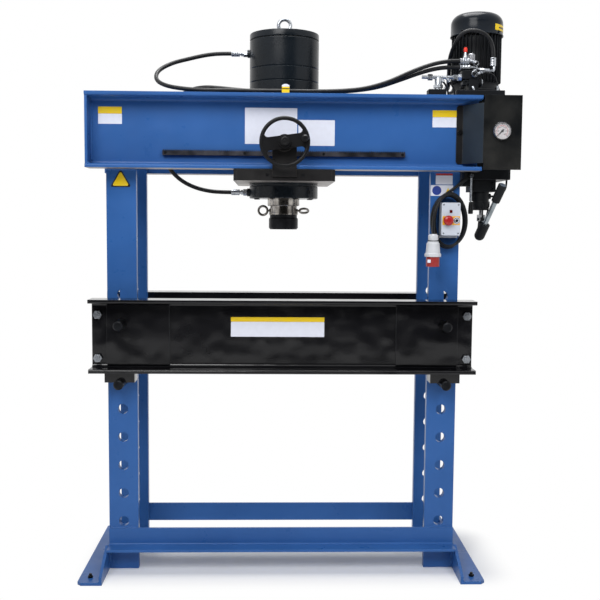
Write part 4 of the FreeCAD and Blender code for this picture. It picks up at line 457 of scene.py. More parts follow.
# ---- Plates and signs on the frame -----------------------------------------------------------
# Printed vinyl films and thin plates, glued on: plain white and yellow fields, a red field, a
# blue disc, and triangles. The centre mark is a yellow clip over the beam's upper front edge.
def printed_film(name, colour, roughness=0.32):
    """Semi-gloss printed film: even colour with a slight mottle of the print every 20 mm."""
    made, tree, skin = new_finish(name)
    skin.inputs["IOR"].default_value = 1.46
    skin.inputs["Specular IOR Level"].default_value = 0.3
    skin.inputs["Roughness"].default_value = roughness
    spot = add(tree, "TexCoord").outputs["Object"]
    mottle = add(tree, "TexNoise", {"Scale": 50, "Detail": 3}, {"Vector": spot})
    shade = add(tree, "MapRange", {1: 0.25, 2: 0.75, 3: 0.0, 4: 0.10}, {
        0: mottle.outputs["Fac"]})
    mixed = add(tree, "Mix", {
        "data_type": "RGBA", 6: linear(colour), 7: (0.35, 0.35, 0.36, 1)}, {0: shade.outputs[0]})
    tree.links.new(mixed.outputs[2], skin.inputs["Base Color"])
    film = add(tree, "Bump", {"Strength": 0.15, "Distance": 0.0002}, {
        "Height": mottle.outputs["Fac"]})
    tree.links.new(film.outputs["Normal"], skin.inputs["Normal"])
    return made


white_film = printed_film("white_printed_film", "#dfe2ee")
yellow_film = printed_film("yellow_printed_film", "#f2cd10")
black_film = printed_film("black_printed_film", "#16161a")
red_film = printed_film("red_printed_film", "#b3332d")
blue_film = printed_film("blue_printed_film", "#1f3c93")


def rounded_box(x0, x1, z0, z1, r=2.0):
    """The outline of a plate with rounded corners, as points in X and Z."""
    points = []
    for k, (cx, cz) in enumerate(((x1 - r, z1 - r), (x0 + r, z1 - r), (x0 + r, z0 + r), (x1 - r, z0 + r))):
        for j in range(5):
            turn = math.radians(90 * k + 22.5 * j)
            points.append((cx + r * math.cos(turn), cz + r * math.sin(turn)))
    return points


def round_outline(x, z, r, steps=32):
    """A round outline, as points in X and Z."""
    return [(x + r * math.cos(2 * math.pi * k / steps), z + r * math.sin(2 * math.pi * k / steps))
            for k in range(steps)]


def join(mesh, part):
    """Adds a part that is drawn in millimetres to a larger mesh."""
    for vert in part.verts:
        vert.co = place(*vert.co)
    spare = bpy.data.meshes.new("part")
    part.to_mesh(spare)
    part.free()
    mesh.from_mesh(spare)
    bpy.data.meshes.remove(spare)


def flat_piece(mesh, outlines, y, thick, soft=0.25):
    """Adds a thin flat piece facing the front: its outer outline first, then its holes."""
    part = bmesh.new()
    for outline in outlines:
        ring = [part.verts.new((x, y, z)) for x, z in outline]
        for k, vert in enumerate(ring):
            part.edges.new((vert, ring[(k + 1) % len(ring)]))
    made = bmesh.ops.triangle_fill(part, use_beauty=True, use_dissolve=True, edges=part.edges)
    faces = [g for g in made["geom"] if isinstance(g, bmesh.types.BMFace)]
    grown = bmesh.ops.extrude_face_region(part, geom=faces)
    lifted = [g for g in grown["geom"] if isinstance(g, bmesh.types.BMVert)]
    bmesh.ops.translate(part, verts=lifted, vec=(0, -thick, 0))
    if soft:
        rim = [e for e in part.edges if all(v.co.y < y - thick / 2 for v in e.verts)
               and len(e.link_faces) == 2 and e.calc_face_angle(0) > 1.0]
        bmesh.ops.bevel(part, geom=rim, offset=soft, segments=2, affect="EDGES")
    join(mesh, part)


whites, yellows, blacks, reds, blues = (bmesh.new() for _ in range(5))
flat_piece(whites, [rounded_box(-161, 52, 1785, 1931)], -WEB_FACE, 1.0)
flat_piece(whites, [rounded_box(57, 206, 1780, 1884)], -WEB_FACE, 1.0)
for left, right in ((-756, -660), (607, 706)):
    flat_piece(whites, [rounded_box(left, right, 1860, 1901)], -WEB_FACE, 0.6)
    flat_piece(yellows, [rounded_box(left, right, 1901.4, 1929)], -WEB_FACE, 0.6)
flat_piece(whites, [rounded_box(627, 697, 1628, 1664.6)], -POST_FACE, 0.6)
flat_piece(whites, [rounded_box(606.5, 700, 1581, 1625)], -POST_FACE, 0.6)
flat_piece(reds, [rounded_box(627, 697, 1665, 1679)], -POST_FACE, 0.6)
flat_piece(yellows, [[(664, 1584), (694, 1584), (679, 1614)]], -POST_FACE - 0.6, 0.2, 0)
flat_piece(blues, [round_outline(632, 1603, 19)], -POST_FACE - 0.6, 0.2, 0)
# the triangle on the left post: a black border round a yellow field
for mesh, size, lift in ((blacks, 46, 0.5), (yellows, 36, 0.9)):
    corners = []
    for k in range(3):
        turn = math.radians(90 + 120 * k)
        cx, cz = -669 + (size - 6) * math.cos(turn), 1631 + (size - 6) * math.sin(turn)
        for j in range(5):
            bend = turn + math.radians(-60 + 30 * j)
            corners.append((cx + 5 * math.cos(bend), cz + 5 * math.sin(bend)))
    flat_piece(mesh, [corners], -POST_FACE, lift, 0.15)
# the centre mark: yellow with a dark line and a pale tip
MARK_LEFT, MARK_RIGHT, MARK_LOW, MARK_HIGH = -12, 18, 1980, 2004
MARK_FACE = -265
flat_piece(yellows, [[(MARK_LEFT, MARK_LOW), (MARK_RIGHT, MARK_LOW), (MARK_RIGHT, MARK_HIGH),
                      (MARK_LEFT, MARK_HIGH)]], MARK_FACE + 7, 7, 0.5)
flat_piece(whites, [[(MARK_LEFT, MARK_HIGH), (MARK_RIGHT, MARK_HIGH), (MARK_RIGHT, 2010), (9, 2015),
                     (-3, 2015), (MARK_LEFT, 2010)]], MARK_FACE + 7, 7, 0.5)
flat_piece(blacks, [rounded_box(MARK_LEFT + 0.5, MARK_RIGHT - 0.5, 1994.5, 1998, 0.5)], MARK_FACE, 0.5, 0)
for name, mesh, film, slot in (
    ("blank_white_plates", whites, white_film, "switch_grey"),
    ("blank_yellow_fields", yellows, yellow_film, "switch_grey"),
    ("dark_borders", blacks, black_film, "machine_black"),
    ("blank_red_field", reds, red_film, "stop_red"),
    ("blank_blue_disc", blues, blue_film, "frame_blue"),
):
    new_piece(name, mesh, film, "frame")

# ---- Rack ------------------------------------------------------------------------------------
# A milled steel rack, teeth up, screwed to the front channel's web with four socket screws.
# Its face is dark, dull and a little oily, with milling marks across it every millimetre or so.
milled_steel = plain_metal(
    "milled_steel", "#2a2a2e", "#515056", (0.38, 0.56), grain=(900, 60, 60), relief=0.00015)
dress("rack", milled_steel)


def socket_screw(mesh, centre, axis, head, tall):
    """A cylinder head with its hexagon socket sunk in."""
    r = head / 2
    spun(mesh, [(0, 0), (r, 0), (r, tall - 0.6), (r - 0.6, tall), (r * 0.58, tall)], centre, axis, 30)
    spun(mesh, [(r * 0.58, tall), (r * 0.54, tall - 0.3), (r * 0.54, tall * 0.35), (0, tall * 0.3)],
         centre, axis, 6)


rack_low, rack_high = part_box("rack")
first_screw = (rack_high.x - rack_low.x) * 500 - 12
screws = bmesh.new()
for k in range(4):
    socket_screw(screws, (first_screw * (2 * k / 3 - 1), -195.5, 1745), FRONT, 11, 4)
new_piece("rack_screws", screws, black_oxide, "frame")

# ---- Table -----------------------------------------------------------------------------------
# Two channels set back to back with tie bolts, doubler plates at the ends, and notched blocks
# that sit on the pins. Gloss black enamel; its long waves break up every reflection.
gloss_black = enamel(
    "gloss_black_enamel", "#0e0e11", "#19191b", (0.06, 0.14), wave=0.0035, edge="#3c3d42", glance=0.35)
for node in ("table_front_channel", "table_rear_channel", "saddle_blocks"):
    dress(node, gloss_black)
dress("table_ties", zinc_plate)
for node in ("pin_lower_left", "pin_lower_right", "pin_upper_left", "pin_upper_right"):
    dress(node, black_oxide)
TABLE_FACE = -180
for name, low, high, film in (
    ("blank_table_plate", 992, 1054.6, white_film),
    ("blank_table_header", 1055, 1074, yellow_film),
):
    plate = bmesh.new()
    flat_piece(plate, [rounded_box(-217, 171, low, high)], TABLE_FACE, 0.6)
    new_piece(name, plate, film, "frame")

# ---- Carriage and cylinder -------------------------------------------------------------------
# A thick plate under the beam hangs from two brackets whose rollers run on the lower flanges;
# the double-acting cylinder is bolted through it. All are sprayed black, the plate scuffed.
# Scuffed black paint: dull and bright by turns, brown-grey where the edges have worn.
scuffed_black = enamel(
    "scuffed_black_paint", "#0f0f11", "#201f1f", (0.30, 0.60), peel=0.0007, edge="#57514b", glance=0.2)
# Gloss black on the round cylinder: cool, with long upright streaks of light.
cylinder_black = enamel(
    "cylinder_gloss_black", "#0e1318", "#161c22", (0.20, 0.32), wave=0.0008, edge="#2c353c", glance=0.22)
# Ground steel: mid grey, with fine marks round the turned faces.
ground_steel = plain_metal(
    "ground_steel", "#8f9093", "#b5b6b8", (0.25, 0.42), grain=(100, 100, 1200))
# Rolled plate worn bright on its underside by handling: light warm steel with grey smears.
worn_plate = plain_metal(
    "worn_rolled_plate", "#85807d", "#b9b4b0", (0.36, 0.6), metal=0.7, grain=(12, 160, 160))
dress("carriage_plate", scuffed_black, worn_plate, choose=lambda at, way: int(way.z < -0.9))
dress("hanger_brackets", scuffed_black)
dress("cylinder_gland", cylinder_black)
for name in ("front_left", "front_right", "rear_left", "rear_right"):
    dress("track_roller_" + name, ground_steel)
dress("piston", ground_steel)

BARREL_R = 146.5
CYLINDER_TOP = 2257
UPPER_PORT_Z, LOWER_PORT_Z = 2178, 1594
carriage_screws = bmesh.new()
for x, way in ((-160, 1), (-68, -1), (-68, 1), (74, -1), (74, 1), (160, 1)):
    socket_screw(carriage_screws, (x, way * 277.5, 1655), (0, way, 0), 13, 1.5)
for out in spokes(8, 22.5):
    socket_screw(carriage_screws, out * 124 + Vector((0, 0, 1568.5)), DOWN, 24, 3.5)
    socket_screw(carriage_screws, out * 118 + Vector((0, 0, CYLINDER_TOP - 0.5)), UP, 22, 4)
# two socket plugs in the gland's round side
for x in (-34, 104):
    out = Vector((x, -math.sqrt(146.0 ** 2 - x * x), 0)).normalized()
    socket_screw(carriage_screws, (out.x * 145.8, out.y * 145.8, LOWER_PORT_Z), out, 17, 1.6)
new_piece("carriage_screws", carriage_screws, black_oxide, "carriage")

# the barrel with its two seams, the cap on its neck, the bore and the upper port's boss
shell = [(125, 1628), (BARREL_R, 1628)]
for seam in (2053, 2110):
    shell += [(BARREL_R, seam - 3), (BARREL_R - 3, seam), (BARREL_R, seam + 3)]
shell += [(BARREL_R, 2225), (145, 2227), (140, 2227), (140, 2231.5), (145.5, 2231.5), (BARREL_R, 2232.5),
          (BARREL_R, CYLINDER_TOP - 4), (145.4, CYLINDER_TOP - 1), (142.5, CYLINDER_TOP), (0, CYLINDER_TOP)]
barrel = bmesh.new()
spun(barrel, shell, (0, 0, 0), UP, 160)
spun(barrel, [(125, 1628), (125, 2222), (0, 2222)], (0, 0, 0), UP, 160)
spun(barrel, [(17, 140), (17, 153), (15.5, 156.5), (0, 156.5)], (0, 0, UPPER_PORT_Z), LEFT, 48)
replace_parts(new_piece("barrel_and_cap", barrel, cylinder_black, "carriage"),
            "cylinder_barrel", "cylinder_cap")


def hex_nut(mesh, start, way, flats, length, twist=0.2):
    """A plain hexagon nut, chamfered at both ends."""
    corner = flats / math.sqrt(3)
    spun(mesh, [(0, 0), (corner * 0.9, 0), (corner, 1.2), (corner, length - 1.2),
                (corner * 0.9, length), (0, length)], start, way, 6, twist)


def crimp(mesh, start, way, r, length):
    """A pressed sleeve on a hose's end, with the die's three shallow rings."""
    profile = [(0, 0), (r - 1, 0), (r, 1.2)]
    for k in range(3):
        s = length * (0.22 + 0.24 * k)
        profile += [(r, s), (r - 0.7, s + 1.2), (r - 0.7, s + 3.0), (r, s + 4.2)]
    spun(mesh, profile + [(r, length - 1.5), (r - 2, length), (0, length)], start, way)


ports = bmesh.new()
for z in (UPPER_PORT_Z, LOWER_PORT_Z):
    hex_nut(ports, (-156.5, 0, z), LEFT, 25, 17)
    hex_nut(ports, (-174.5, 0, z), LEFT, 20, 9, 0.6)
    spun(ports, [(0, 0), (7, 0), (7, 32), (0, 32)], (-160, 0, z), LEFT, 32)
    crimp(ports, (-224, 0, z), RIGHT, 12.5, 36)
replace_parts(new_piece("cylinder_port_fittings", ports, zinc_plate, "carriage"),
            "cylinder_fittings")

# the forged ring bolt in the cap: a hoop of 15 mm bar on a collar and neck
RING_Z, RING_R, BAR_R = 2297, 25.5, 7.5
ring = bmesh.new()
bar = [(RING_R + BAR_R * math.cos(bend), BAR_R * math.sin(bend))
       for bend in (2 * math.pi * k / 20 for k in range(21))]
spun(ring, bar, (0, 0, RING_Z), BACK, 64)
spun(ring, [(0, -0.4), (16, -0.4), (17, 1), (16, 5), (10, 8), (8, 12), (BAR_R, 17), (0, 17)],
     (0, 0, CYLINDER_TOP), UP)
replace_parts(new_piece("lifting_ring_bolt", ring, zinc_plate, "carriage"), "lifting_eye")

# ---- Ram -------------------------------------------------------------------------------------
# A hard-chromed rod with a bright shoulder, a blackened nose screwed on below it, and two ring
# bolts. The chrome shows the rod's stroke as warm streaks up and down, 11 mm apart.
hard_chrome = plain_metal(
    "hard_chrome", "#5f5b57", "#b9b4ae", (0.14, 0.26), grain=(90, 90, 2), relief=0.00006)
dress("ram_rod", hard_chrome)
dress("ram_eyes", hard_chrome)
dress("ram_nose", black_oxide)


def turned_piece(name, profile, centre, axis, steps, finish, body, slot, **fluting):
    """A piece that is one turned shape."""
    mesh = bmesh.new()
    spun(mesh, profile, centre, axis, steps, **fluting)
    return new_piece(name, mesh, finish, body)


turned_piece("nose_shoulder_ring",
             [(58.2, 0), (61.4, 0), (62.2, 1), (62.2, 7.8), (61.2, 8.8), (58.2, 8.8)],
             (0, 0, 1499.2), UP, 96, hard_chrome, "ram", "hard_chrome")

# ---- Handwheel -------------------------------------------------------------------------------
# Moulded phenolic wheel on the pinion's shaft, with a turning spinner: black, with a low even
# gloss. A moulded cap closes the hub.
phenolic = enamel(
    "moulded_phenolic", "#08080a", "#101012", (0.32, 0.44), peel=0.0002, wave=0.0004, glance=0.22)
dress("handwheel", phenolic)
dress("pinion_shaft", ground_steel)
dress("spinner_knob", phenolic)
hub_face = (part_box("handwheel")[0].y - middle.y) * 1000
turned_piece("hub_cap", [(0, -1), (17, -1), (17, 0.4), (15.5, 1.6), (11, 2.0), (10.4, 1.2), (4, 1.2),
                         (3.4, 1.8), (0, 2.0)],
             (0, hub_face, 1781), FRONT, 56, phenolic, "wheel", "machine_black")

# ---- Oil tank --------------------------------------------------------------------------------
# A welded sheet tank behind the beam's end, with a thick lid that is cut away at its front right
# corner. Satin black paint, lighter where the corners have worn.
satin_black = enamel(
    "satin_black_paint", "#111316", "#1b1d20", (0.34, 0.5), peel=0.0006, edge="#34353a", glance=0.14)
LID_TOP = 2009


def block(mesh, low, high, soft=1.0, corner=0.0):
    """A folded or machined block between two corners, its uprights rounded and its edges soft."""
    part = bmesh.new()
    bmesh.ops.create_cube(part, size=1)
    for vert in part.verts:
        vert.co = Vector([a + (b - a) * (c + 0.5) for a, b, c in zip(low, high, vert.co)])
    if corner:
        uprights = [e for e in part.edges if abs(e.verts[0].co.z - e.verts[1].co.z) > 1]
        bmesh.ops.bevel(part, geom=uprights, offset=corner, segments=6, affect="EDGES")
    rims = [e for e in part.edges if e.calc_face_angle(0) > 0.8]
    bmesh.ops.bevel(part, geom=rims, offset=soft, segments=2, affect="EDGES")
    join(mesh, part)


def walls(mesh, low_ring, high_ring):
    """The faces between two rings of as many points."""
    for k in range(len(low_ring)):
        n = (k + 1) % len(low_ring)
        mesh.faces.new((low_ring[k], low_ring[n], high_ring[n], high_ring[k]))


tank = bmesh.new()
block(tank, (740, -168, 1650), (940, 168, 1985), 1.0, 10)
lid = bmesh.new()
corners = [(700, -205), (897, -205), (897, -75), (946, -75), (946, 168), (700, 168)]
rims = [[lid.verts.new((x, y, z)) for x, y in corners] for z in (LID_TOP - 25, LID_TOP)]
lid.faces.new(reversed(rims[0]))
lid.faces.new(rims[1])
walls(lid, *rims)
bmesh.ops.bevel(lid, geom=lid.edges[:], offset=1.2, segments=2, affect="EDGES")
join(tank, lid)
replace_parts(new_piece("tank_and_lid", tank, satin_black, "frame"), "oil_tank")

# ---- Motor -----------------------------------------------------------------------------------
# A cast body with 36 cooling fins on its flared flange, and the terminal box behind. The fan
# turns under a deep-drawn steel hood with a rolled lip and twelve air slots in its crown.
# Painted castings: near black and dull, with a coarse skin that swallows the fins' shadows.
cast_black = enamel(
    "painted_castings", "#0c0e10", "#16181b", (0.40, 0.56), peel=0.0010, edge="#2a2d31", glance=0.16)
# Sheet drawn smooth under gloss paint: blue-black, with a clear broad highlight.
drawn_black = enamel(
    "drawn_cover_gloss", "#0a0f14", "#121922", (0.16, 0.26), wave=0.0012, edge="#36404a", glance=0.16)
# Moulded polyamide: plain even black with a low shine.
moulded_black = enamel(
    "moulded_black_plastic", "#0d0e10", "#16171a", (0.34, 0.46), peel=0.0003, wave=0.0003, glance=0.22)
dress("motor_rotor", ground_steel)
dress("motor_fan", moulded_black)
MOTOR_X = 820
motor = bmesh.new()
spun(motor, [(13, 2009), (118, 2009), (119, 2010), (119, 2026), (117.8, 2027.4), (106, 2030), (100, 2044),
             (94, 2054), (92, 2060), (92, 2252), (13, 2252), (13, 2238), (78, 2238), (78, 2023),
             (13, 2023), (13, 2009)], (MOTOR_X, 0, 0), UP, 96)
for out in spokes(36, 5):
    side = Vector((-out.y, out.x, 0))
    rows = []
    # each fin starts lower at its root, and its outer edge is rounded
    for z, drop in ((2058, 7), (2262, 0)):
        rows.append([motor.verts.new(place(*(
            Vector((MOTOR_X, 0, z + drop * (r - 90) / 15)) + out * r + side * half)))
            for r, half in ((90, 2.0), (104, 1.4), (105, 0.6), (105, -0.6), (104, -1.4), (90, -2.0))])
    walls(motor, *rows)
    motor.faces.new(rows[0])
    motor.faces.new(reversed(rows[1]))
block(motor, (772, 86, 2104), (868, 146, 2204), 3.0, 8)
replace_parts(new_piece("finned_motor", motor, cast_black, "frame"), "motor_housing")

HOOD_R, HOOD_LIP, HOOD_SHOULDER = 109.5, 2258, 2310
hood = bmesh.new()
outside = [(HOOD_R + 2.1, HOOD_LIP), (HOOD_R + 2.3, HOOD_LIP + 4), (HOOD_R, HOOD_LIP + 6),
           (HOOD_R, HOOD_SHOULDER)]
for k in range(1, 9):
    bend = math.radians(90 * k / 9)
    outside.append((HOOD_R - 46 + 46 * math.cos(bend), HOOD_SHOULDER + 43 * math.sin(bend)))
outside += [(60, 2353.2), (26, 2356), (0, 2357)]
inside = [(max(0, r - 3 * min(1, z - HOOD_LIP)), z - (3 if z > 2340 else 0)) for r, z in outside]
slot_row = len(outside) - 3
shells = []
for profile in (outside, inside):
    rings = []
    for r, z in profile:
        if r < 1:
            rings.append([hood.verts.new(place(MOTOR_X, 0, z))] * 96)
        else:
            rings.append([hood.verts.new(place(*(Vector((MOTOR_X, 0, z)) + out * r)))
                          for out in spokes(96)])
    shells.append(rings)
outer, inner = shells
for k in range(96):
    n = (k + 1) % 96
    slotted = k % 8 < 2
    for rings in shells:
        for j in range(len(rings) - 1):
            if not (slotted and j == slot_row):
                loop = (rings[j][k], rings[j][n], rings[j + 1][n], rings[j + 1][k])
                hood.faces.new(loop[:3] if loop[2] == loop[3] else loop)
    # the sheet's edge round the lip and round each slot
    for j in (0, slot_row, slot_row + 1) if slotted else (0,):
        hood.faces.new((outer[j][k], outer[j][n], inner[j][n], inner[j][k]))
    if k % 8 in (0, 2):
        hood.faces.new((outer[slot_row][k], outer[slot_row + 1][k], inner[slot_row + 1][k],
                        inner[slot_row][k]))
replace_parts(new_piece("fan_hood", hood, drawn_black, "frame", sharp=50), "motor_fan_cover")

# ---- Valve block and unions ------------------------------------------------------------------
# A painted block on its foot carries the relief valve and a cartridge; zinc-plated banjos, elbows
# and bent pipes join it to the hoses, the pilot valve at its left and the tank.
valves = bmesh.new()
block(valves, (722, -196, 2054), (791, -130, 2090), 1.6, 4)
block(valves, (750, -193, LID_TOP), (791, -134, 2056), 1.2, 3)
for profile, centre, axis, steps in (
    ([(0, 0), (12, 0), (12, 42), (10.5, 44), (6, 44), (5.5, 41), (0, 41)], (737, -150, 2040), FRONT, 40),
    ([(0, 0), (19, 0), (20, 2), (20, 14), (18, 17), (0, 17)], (789, -164, 2046), RIGHT, 48),
    ([(0, 0), (13.2, 0), (13.8, 0.8), (13.8, 11), (13, 12), (0, 12)], (768, -147, 2090), UP, 6),
    ([(0, 12), (7, 12), (7, 46), (0, 46)], (768, -147, 2090), UP, 32),
):
    spun(valves, profile, centre, axis, steps)
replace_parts(new_piece("valve_block_on_foot", valves, cast_black, "frame"), "valve_block")
# Turned aluminium knob of the relief valve: pale grey with its knurl in soft shadow.
turned_aluminium = plain_metal(
    "turned_aluminium", "#7f8084", "#a5a6aa", (0.30, 0.45), grain=(60, 60, 900))
dress("relief_knob", turned_aluminium)


def round_line(name, points, diameter):
    """A round line on a smooth spline whose control points are the route's points."""
    line = bpy.data.curves.new(name, "CURVE")
    line.dimensions = "3D"
    line.resolution_u = 10
    spline = line.splines.new("NURBS")
    spline.points.add(len(points) - 1)
    for knot, point in zip(spline.points, points):
        knot.co = (*place(*point), 1)
    spline.order_u = 3
    spline.use_endpoint_u = True
    line.bevel_depth = diameter / 2000
    line.bevel_resolution = 6
    line.use_fill_caps = True
    return bpy.data.objects.new(name, line)


# pipes, with their diameter: the two delivery bends, the return elbow, the drain, the pilot line
# from its valve, and the tank's return at the back
unions = bmesh.new()
for diameter, points in (
    (12, [(752, -172, 2129), (766, -172, 2129), (775, -174, 2127), (780, -176, 2121)]),
    (13, [(783, -166, 2088), (783, -166, 2104), (783, -166, 2118)]),
    (11, [(756, -172, 2104), (774, -172, 2104), (788, -174, 2099), (802, -178, 2091)]),
    (13, [(814, -177, 2090), (819, -177, 2090), (824, -177, 2090)]),
    (10.5, [(836, -177, 2090), (849, -177, 2090), (856, -175, 2095), (856, -172, 2108), (856, -172, 2118)]),
    (9, [(781, -203, 2074), (788, -203, 2074), (794, -196, 2079), (799, -184, 2086)]),
    (9, [(789, -188, 2080), (799, -188, 2080), (808, -188, 2080)]),
    (14, [(560, -176, 2062), (640, -176, 2062), (724, -176, 2062)]),
    (12, [(718, 134, 2062), (718, 143, 2062), (718, 148, 2056), (718, 148, 2030), (718, 148, LID_TOP)]),
):
    carrier = round_line("pipe", points, diameter)
    tube = bpy.data.meshes.new_from_object(carrier)
    unions.from_mesh(tube)
    bpy.data.objects.remove(carrier)
    bpy.data.meshes.remove(tube)
# union nuts: where they start, along which axis, flats, length and turn
for start, axis, flats, length, twist in (
    ((783, -166, 2089), UP, 20, 9, 0.2),
    ((738, -172, 2139), UP, 17, 9, 0.2),
    ((796, -177, 2090), RIGHT, 19, 20, 0.2),
    ((820, -177, 2090), RIGHT, 17, 18, 0.5),
    ((584, -176, 2062), RIGHT, 22, 20, 0.2),
    ((688, -176, 2062), RIGHT, 21, 18, 0.2),
    ((708, -176, 2062), RIGHT, 25, 15, 0.5),
    ((628, -176, 2018), UP, 34, 14, 0.2),
    ((718, 148, LID_TOP), UP, 22, 12, 0.2),
):
    hex_nut(unions, start, axis, flats, length, twist)
# crimped sleeves on the hoses' ends: start, axis, radius and length
for start, axis, r, length in (
    ((716, -172, 2129), RIGHT, 12.5, 38),
    ((716, -172, 2104), RIGHT, 11.5, 42),
    ((852, -172, 2144), DOWN, 12, 34),
    ((634, -176, 2062), (0.64, 0, -0.768), 7, 24),
    ((660, -176, 2062), (0.64, 0, -0.768), 7, 24),
    ((718, 106, 2062), BACK, 12, 30),
):
    crimp(unions, start, axis, r, length)
# turned parts: upper banjo, test point, front banjo, cartridge flange, drain stub, plug, pilot stand
for profile, centre, axis, steps in (
    ([(0, 0), (11, 0), (11, 13), (9.8, 14.4), (6.2, 14.4), (5.6, 10), (0, 10)],
     (782, -166, 2119), FRONT, 40),
    ([(0, 8), (6.6, 8), (6.6, 19), (5.4, 21), (5.4, 33), (0, 33)], (738, -172, 2139), UP, 32),
    ([(0, -2), (11, -2), (11, 5), (13, 6), (13, 13), (11.8, 14.4), (7.6, 14.4), (7.2, 9), (0, 9)],
     (770, -195, 2073), FRONT, 44),
    ([(0, 0), (13, 0), (13.6, 1), (13.6, 5), (12, 6.5), (0, 6.5)], (805, -164, 2046), RIGHT, 40),
    ([(0, 0), (5, 0), (5, 20), (0, 20)], (870, -188, LID_TOP), UP, 28),
    ([(0, 0), (4.5, 0), (4.5, 15), (3.2, 17), (0, 17)], (770, -200, LID_TOP), (-0.35, 0, 1), 24),
    ([(0, 0), (14, 0), (15, 1), (15, 48), (13, 52), (0, 52)], (628, -176, LID_TOP), UP, 48),
):
    spun(unions, profile, centre, axis, steps)
for vert in unions.verts:
    vert.co.z = max(vert.co.z, LID_TOP / 1000)
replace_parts(new_piece("hose_unions", unions, zinc_plate, "frame"), "pack_fittings")
pilot = bmesh.new()
block(pilot, (584, -212, 1980), (656, -152, 2010), 1.5, 3)
hex_nut(pilot, (770, -203, 2073), FRONT, 11, 3.5)
hex_nut(pilot, (782, -175, 2119), FRONT, 9, 4)
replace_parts(new_piece("pilot_valve", pilot, cast_black, "frame"), "pack_fittings")
# Soft red polythene cap on the test point: bright orange-red, waxy and even.
red_cap = printed_film("red_polythene", "#e2321c", 0.4)
turned_piece("test_point_cap", [(0, 0), (7.2, 0), (7.6, 1), (7.6, 14), (6.6, 17.4), (4, 19), (0, 19.4)],
             (738, -172, 2165), UP, 32, red_cap, "frame", "stop_red", flutes=16, flute_depth=0.3)

# ---- Hood label and the pack's bolts ---------------------------------------------------------
# A yellow vinyl film with a dark bar is glued round the motor's hood. Black-oxide hexagon bolts on
# washers hold the motor's flange, and socket screws its hood and the tank's lid.
for name, turns, heights, lift, film, slot in (
    ("cover_label", (31, 77), (2274, 2299), 0.4, yellow_film, "switch_grey"),
    ("cover_label_arrow", (44, 68), (2283, 2289), 0.7, black_film, "machine_black"),
):
    label = bmesh.new()
    columns = []
    inside_r, outside_r = HOOD_R - 0.2, HOOD_R + lift
    for k in range(17):
        turn = math.radians(turns[0] + (turns[1] - turns[0]) * k / 16)
        columns.append([
            label.verts.new(place(MOTOR_X + r * math.sin(turn), -r * math.cos(turn), heights[top]))
            for r, top in ((inside_r, 0), (outside_r, 0), (outside_r, 1), (inside_r, 1))])
    for one, two in zip(columns, columns[1:]):
        walls(label, one, two)
    label.faces.new(columns[0])
    label.faces.new(reversed(columns[-1]))
    new_piece(name, label, film, "frame")

pack_bolts = bmesh.new()
for out in spokes(4, 45):
    hex_bolt(pack_bolts, Vector((MOTOR_X, 0, 2028)) + out * 104, 17, 8, washer=11)
    socket_screw(pack_bolts, Vector((MOTOR_X, 0, 2270)) + out * HOOD_R, out, 9, 3)
for x in (724, 790, 860, 930):
    socket_screw(pack_bolts, (x, 152, LID_TOP), UP, 12, 5)
new_piece("pack_bolts", pack_bolts, black_oxide, "frame")

# ---- Gauge panel -----------------------------------------------------------------------------
# A bent sheet bolted to the channel's web by its tab, its slanted wing painted slate grey and its
# front black; the pressure gauge sits in a hole, in a polished steel case under a glass pane.
# Slate-grey paint: lighter and bluer than the front, dull.
slate_paint = enamel(
    "slate_panel_paint", "#262d35", "#343e48", (0.30, 0.5), peel=0.0006, edge="#5a5650", glance=0.2)
# The panel's front: black paint with a bloom of dust and hand marks over it, 100 mm across.
dusty_black = enamel(
    "dusty_black_paint", "#0b0d0f", "#272726", (0.30, 0.5), peel=0.0005, edge="#34353a", glance=0.12,
    patch=10)
TAB_RIGHT, WING_RIGHT, WEB_SIDE = 735, 797, -178
dress("gauge_panel", dusty_black, slate_paint, scuffed_black,
      choose=lambda at, way: 2 if at[0] < TAB_RIGHT else int(at[0] < WING_RIGHT and at[1] < WEB_SIDE))
# Polished steel: a bright ring with sharp reflections.
polished_steel = plain_metal(
    "polished_steel", "#85878a", "#a9abad", (0.16, 0.28), grain=(300, 300, 300), relief=0.00003)
dress("gauge_case", polished_steel)
tab_bolt = bmesh.new()
hex_bolt(tab_bolt, (720, -183, 1839), 17, 6.5, washer=11, axis=FRONT)
new_piece("panel_bolts", tab_bolt, black_oxide, "frame")

GAUGE = Vector((869, -286, 1837))
# Enamelled dial: off-white and matt, under black and red print.
dial_white = printed_film("white_enamelled_dial", "#c4bfc0", 0.5)
turned_piece("gauge_dial", [(0, 0), (33, 0), (33, 0.5), (4.5, 0.5), (0, 0.5)], GAUGE, FRONT, 72,
             dial_white, "frame", "gauge_steel")

# the needle's blade, drawn at rest on the scale's first line, and its hub
SCALE_START, SCALE_SWEEP = -135, 270
needle_black = printed_film("black_needle_lacquer", "#101012", 0.4)  # dull lacquer, plain black
first_line = math.radians(SCALE_START)
along = Vector((math.sin(first_line), math.cos(first_line)))
side = Vector((along.y, -along.x))
hub = Vector((GAUGE.x, GAUGE.z))
outline = [tuple(hub + along * far + side * half) for far, half in (
    (-9, 2.4), (0, 2.8), (26, 1.2), (28, 0), (26, -1.2), (0, -2.8), (-9, -2.4))]
blade = bmesh.new()
flat_piece(blade, [outline], GAUGE.y - 2.6, 0.9, 0.1)
spun(blade, [(0, 1.2), (4.8, 1.2), (4.8, 4.0), (4.2, 4.6), (0, 4.6)], GAUGE, FRONT, 32)
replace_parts(new_piece("needle_blade", blade, needle_black, "needle"), "gauge_needle")


def on_dial(radius, degrees, lift):
    """A point of the dial, degrees counted clockwise from straight up."""
    turn = math.radians(degrees)
    return GAUGE + Vector((radius * math.sin(turn), -lift, radius * math.cos(turn)))


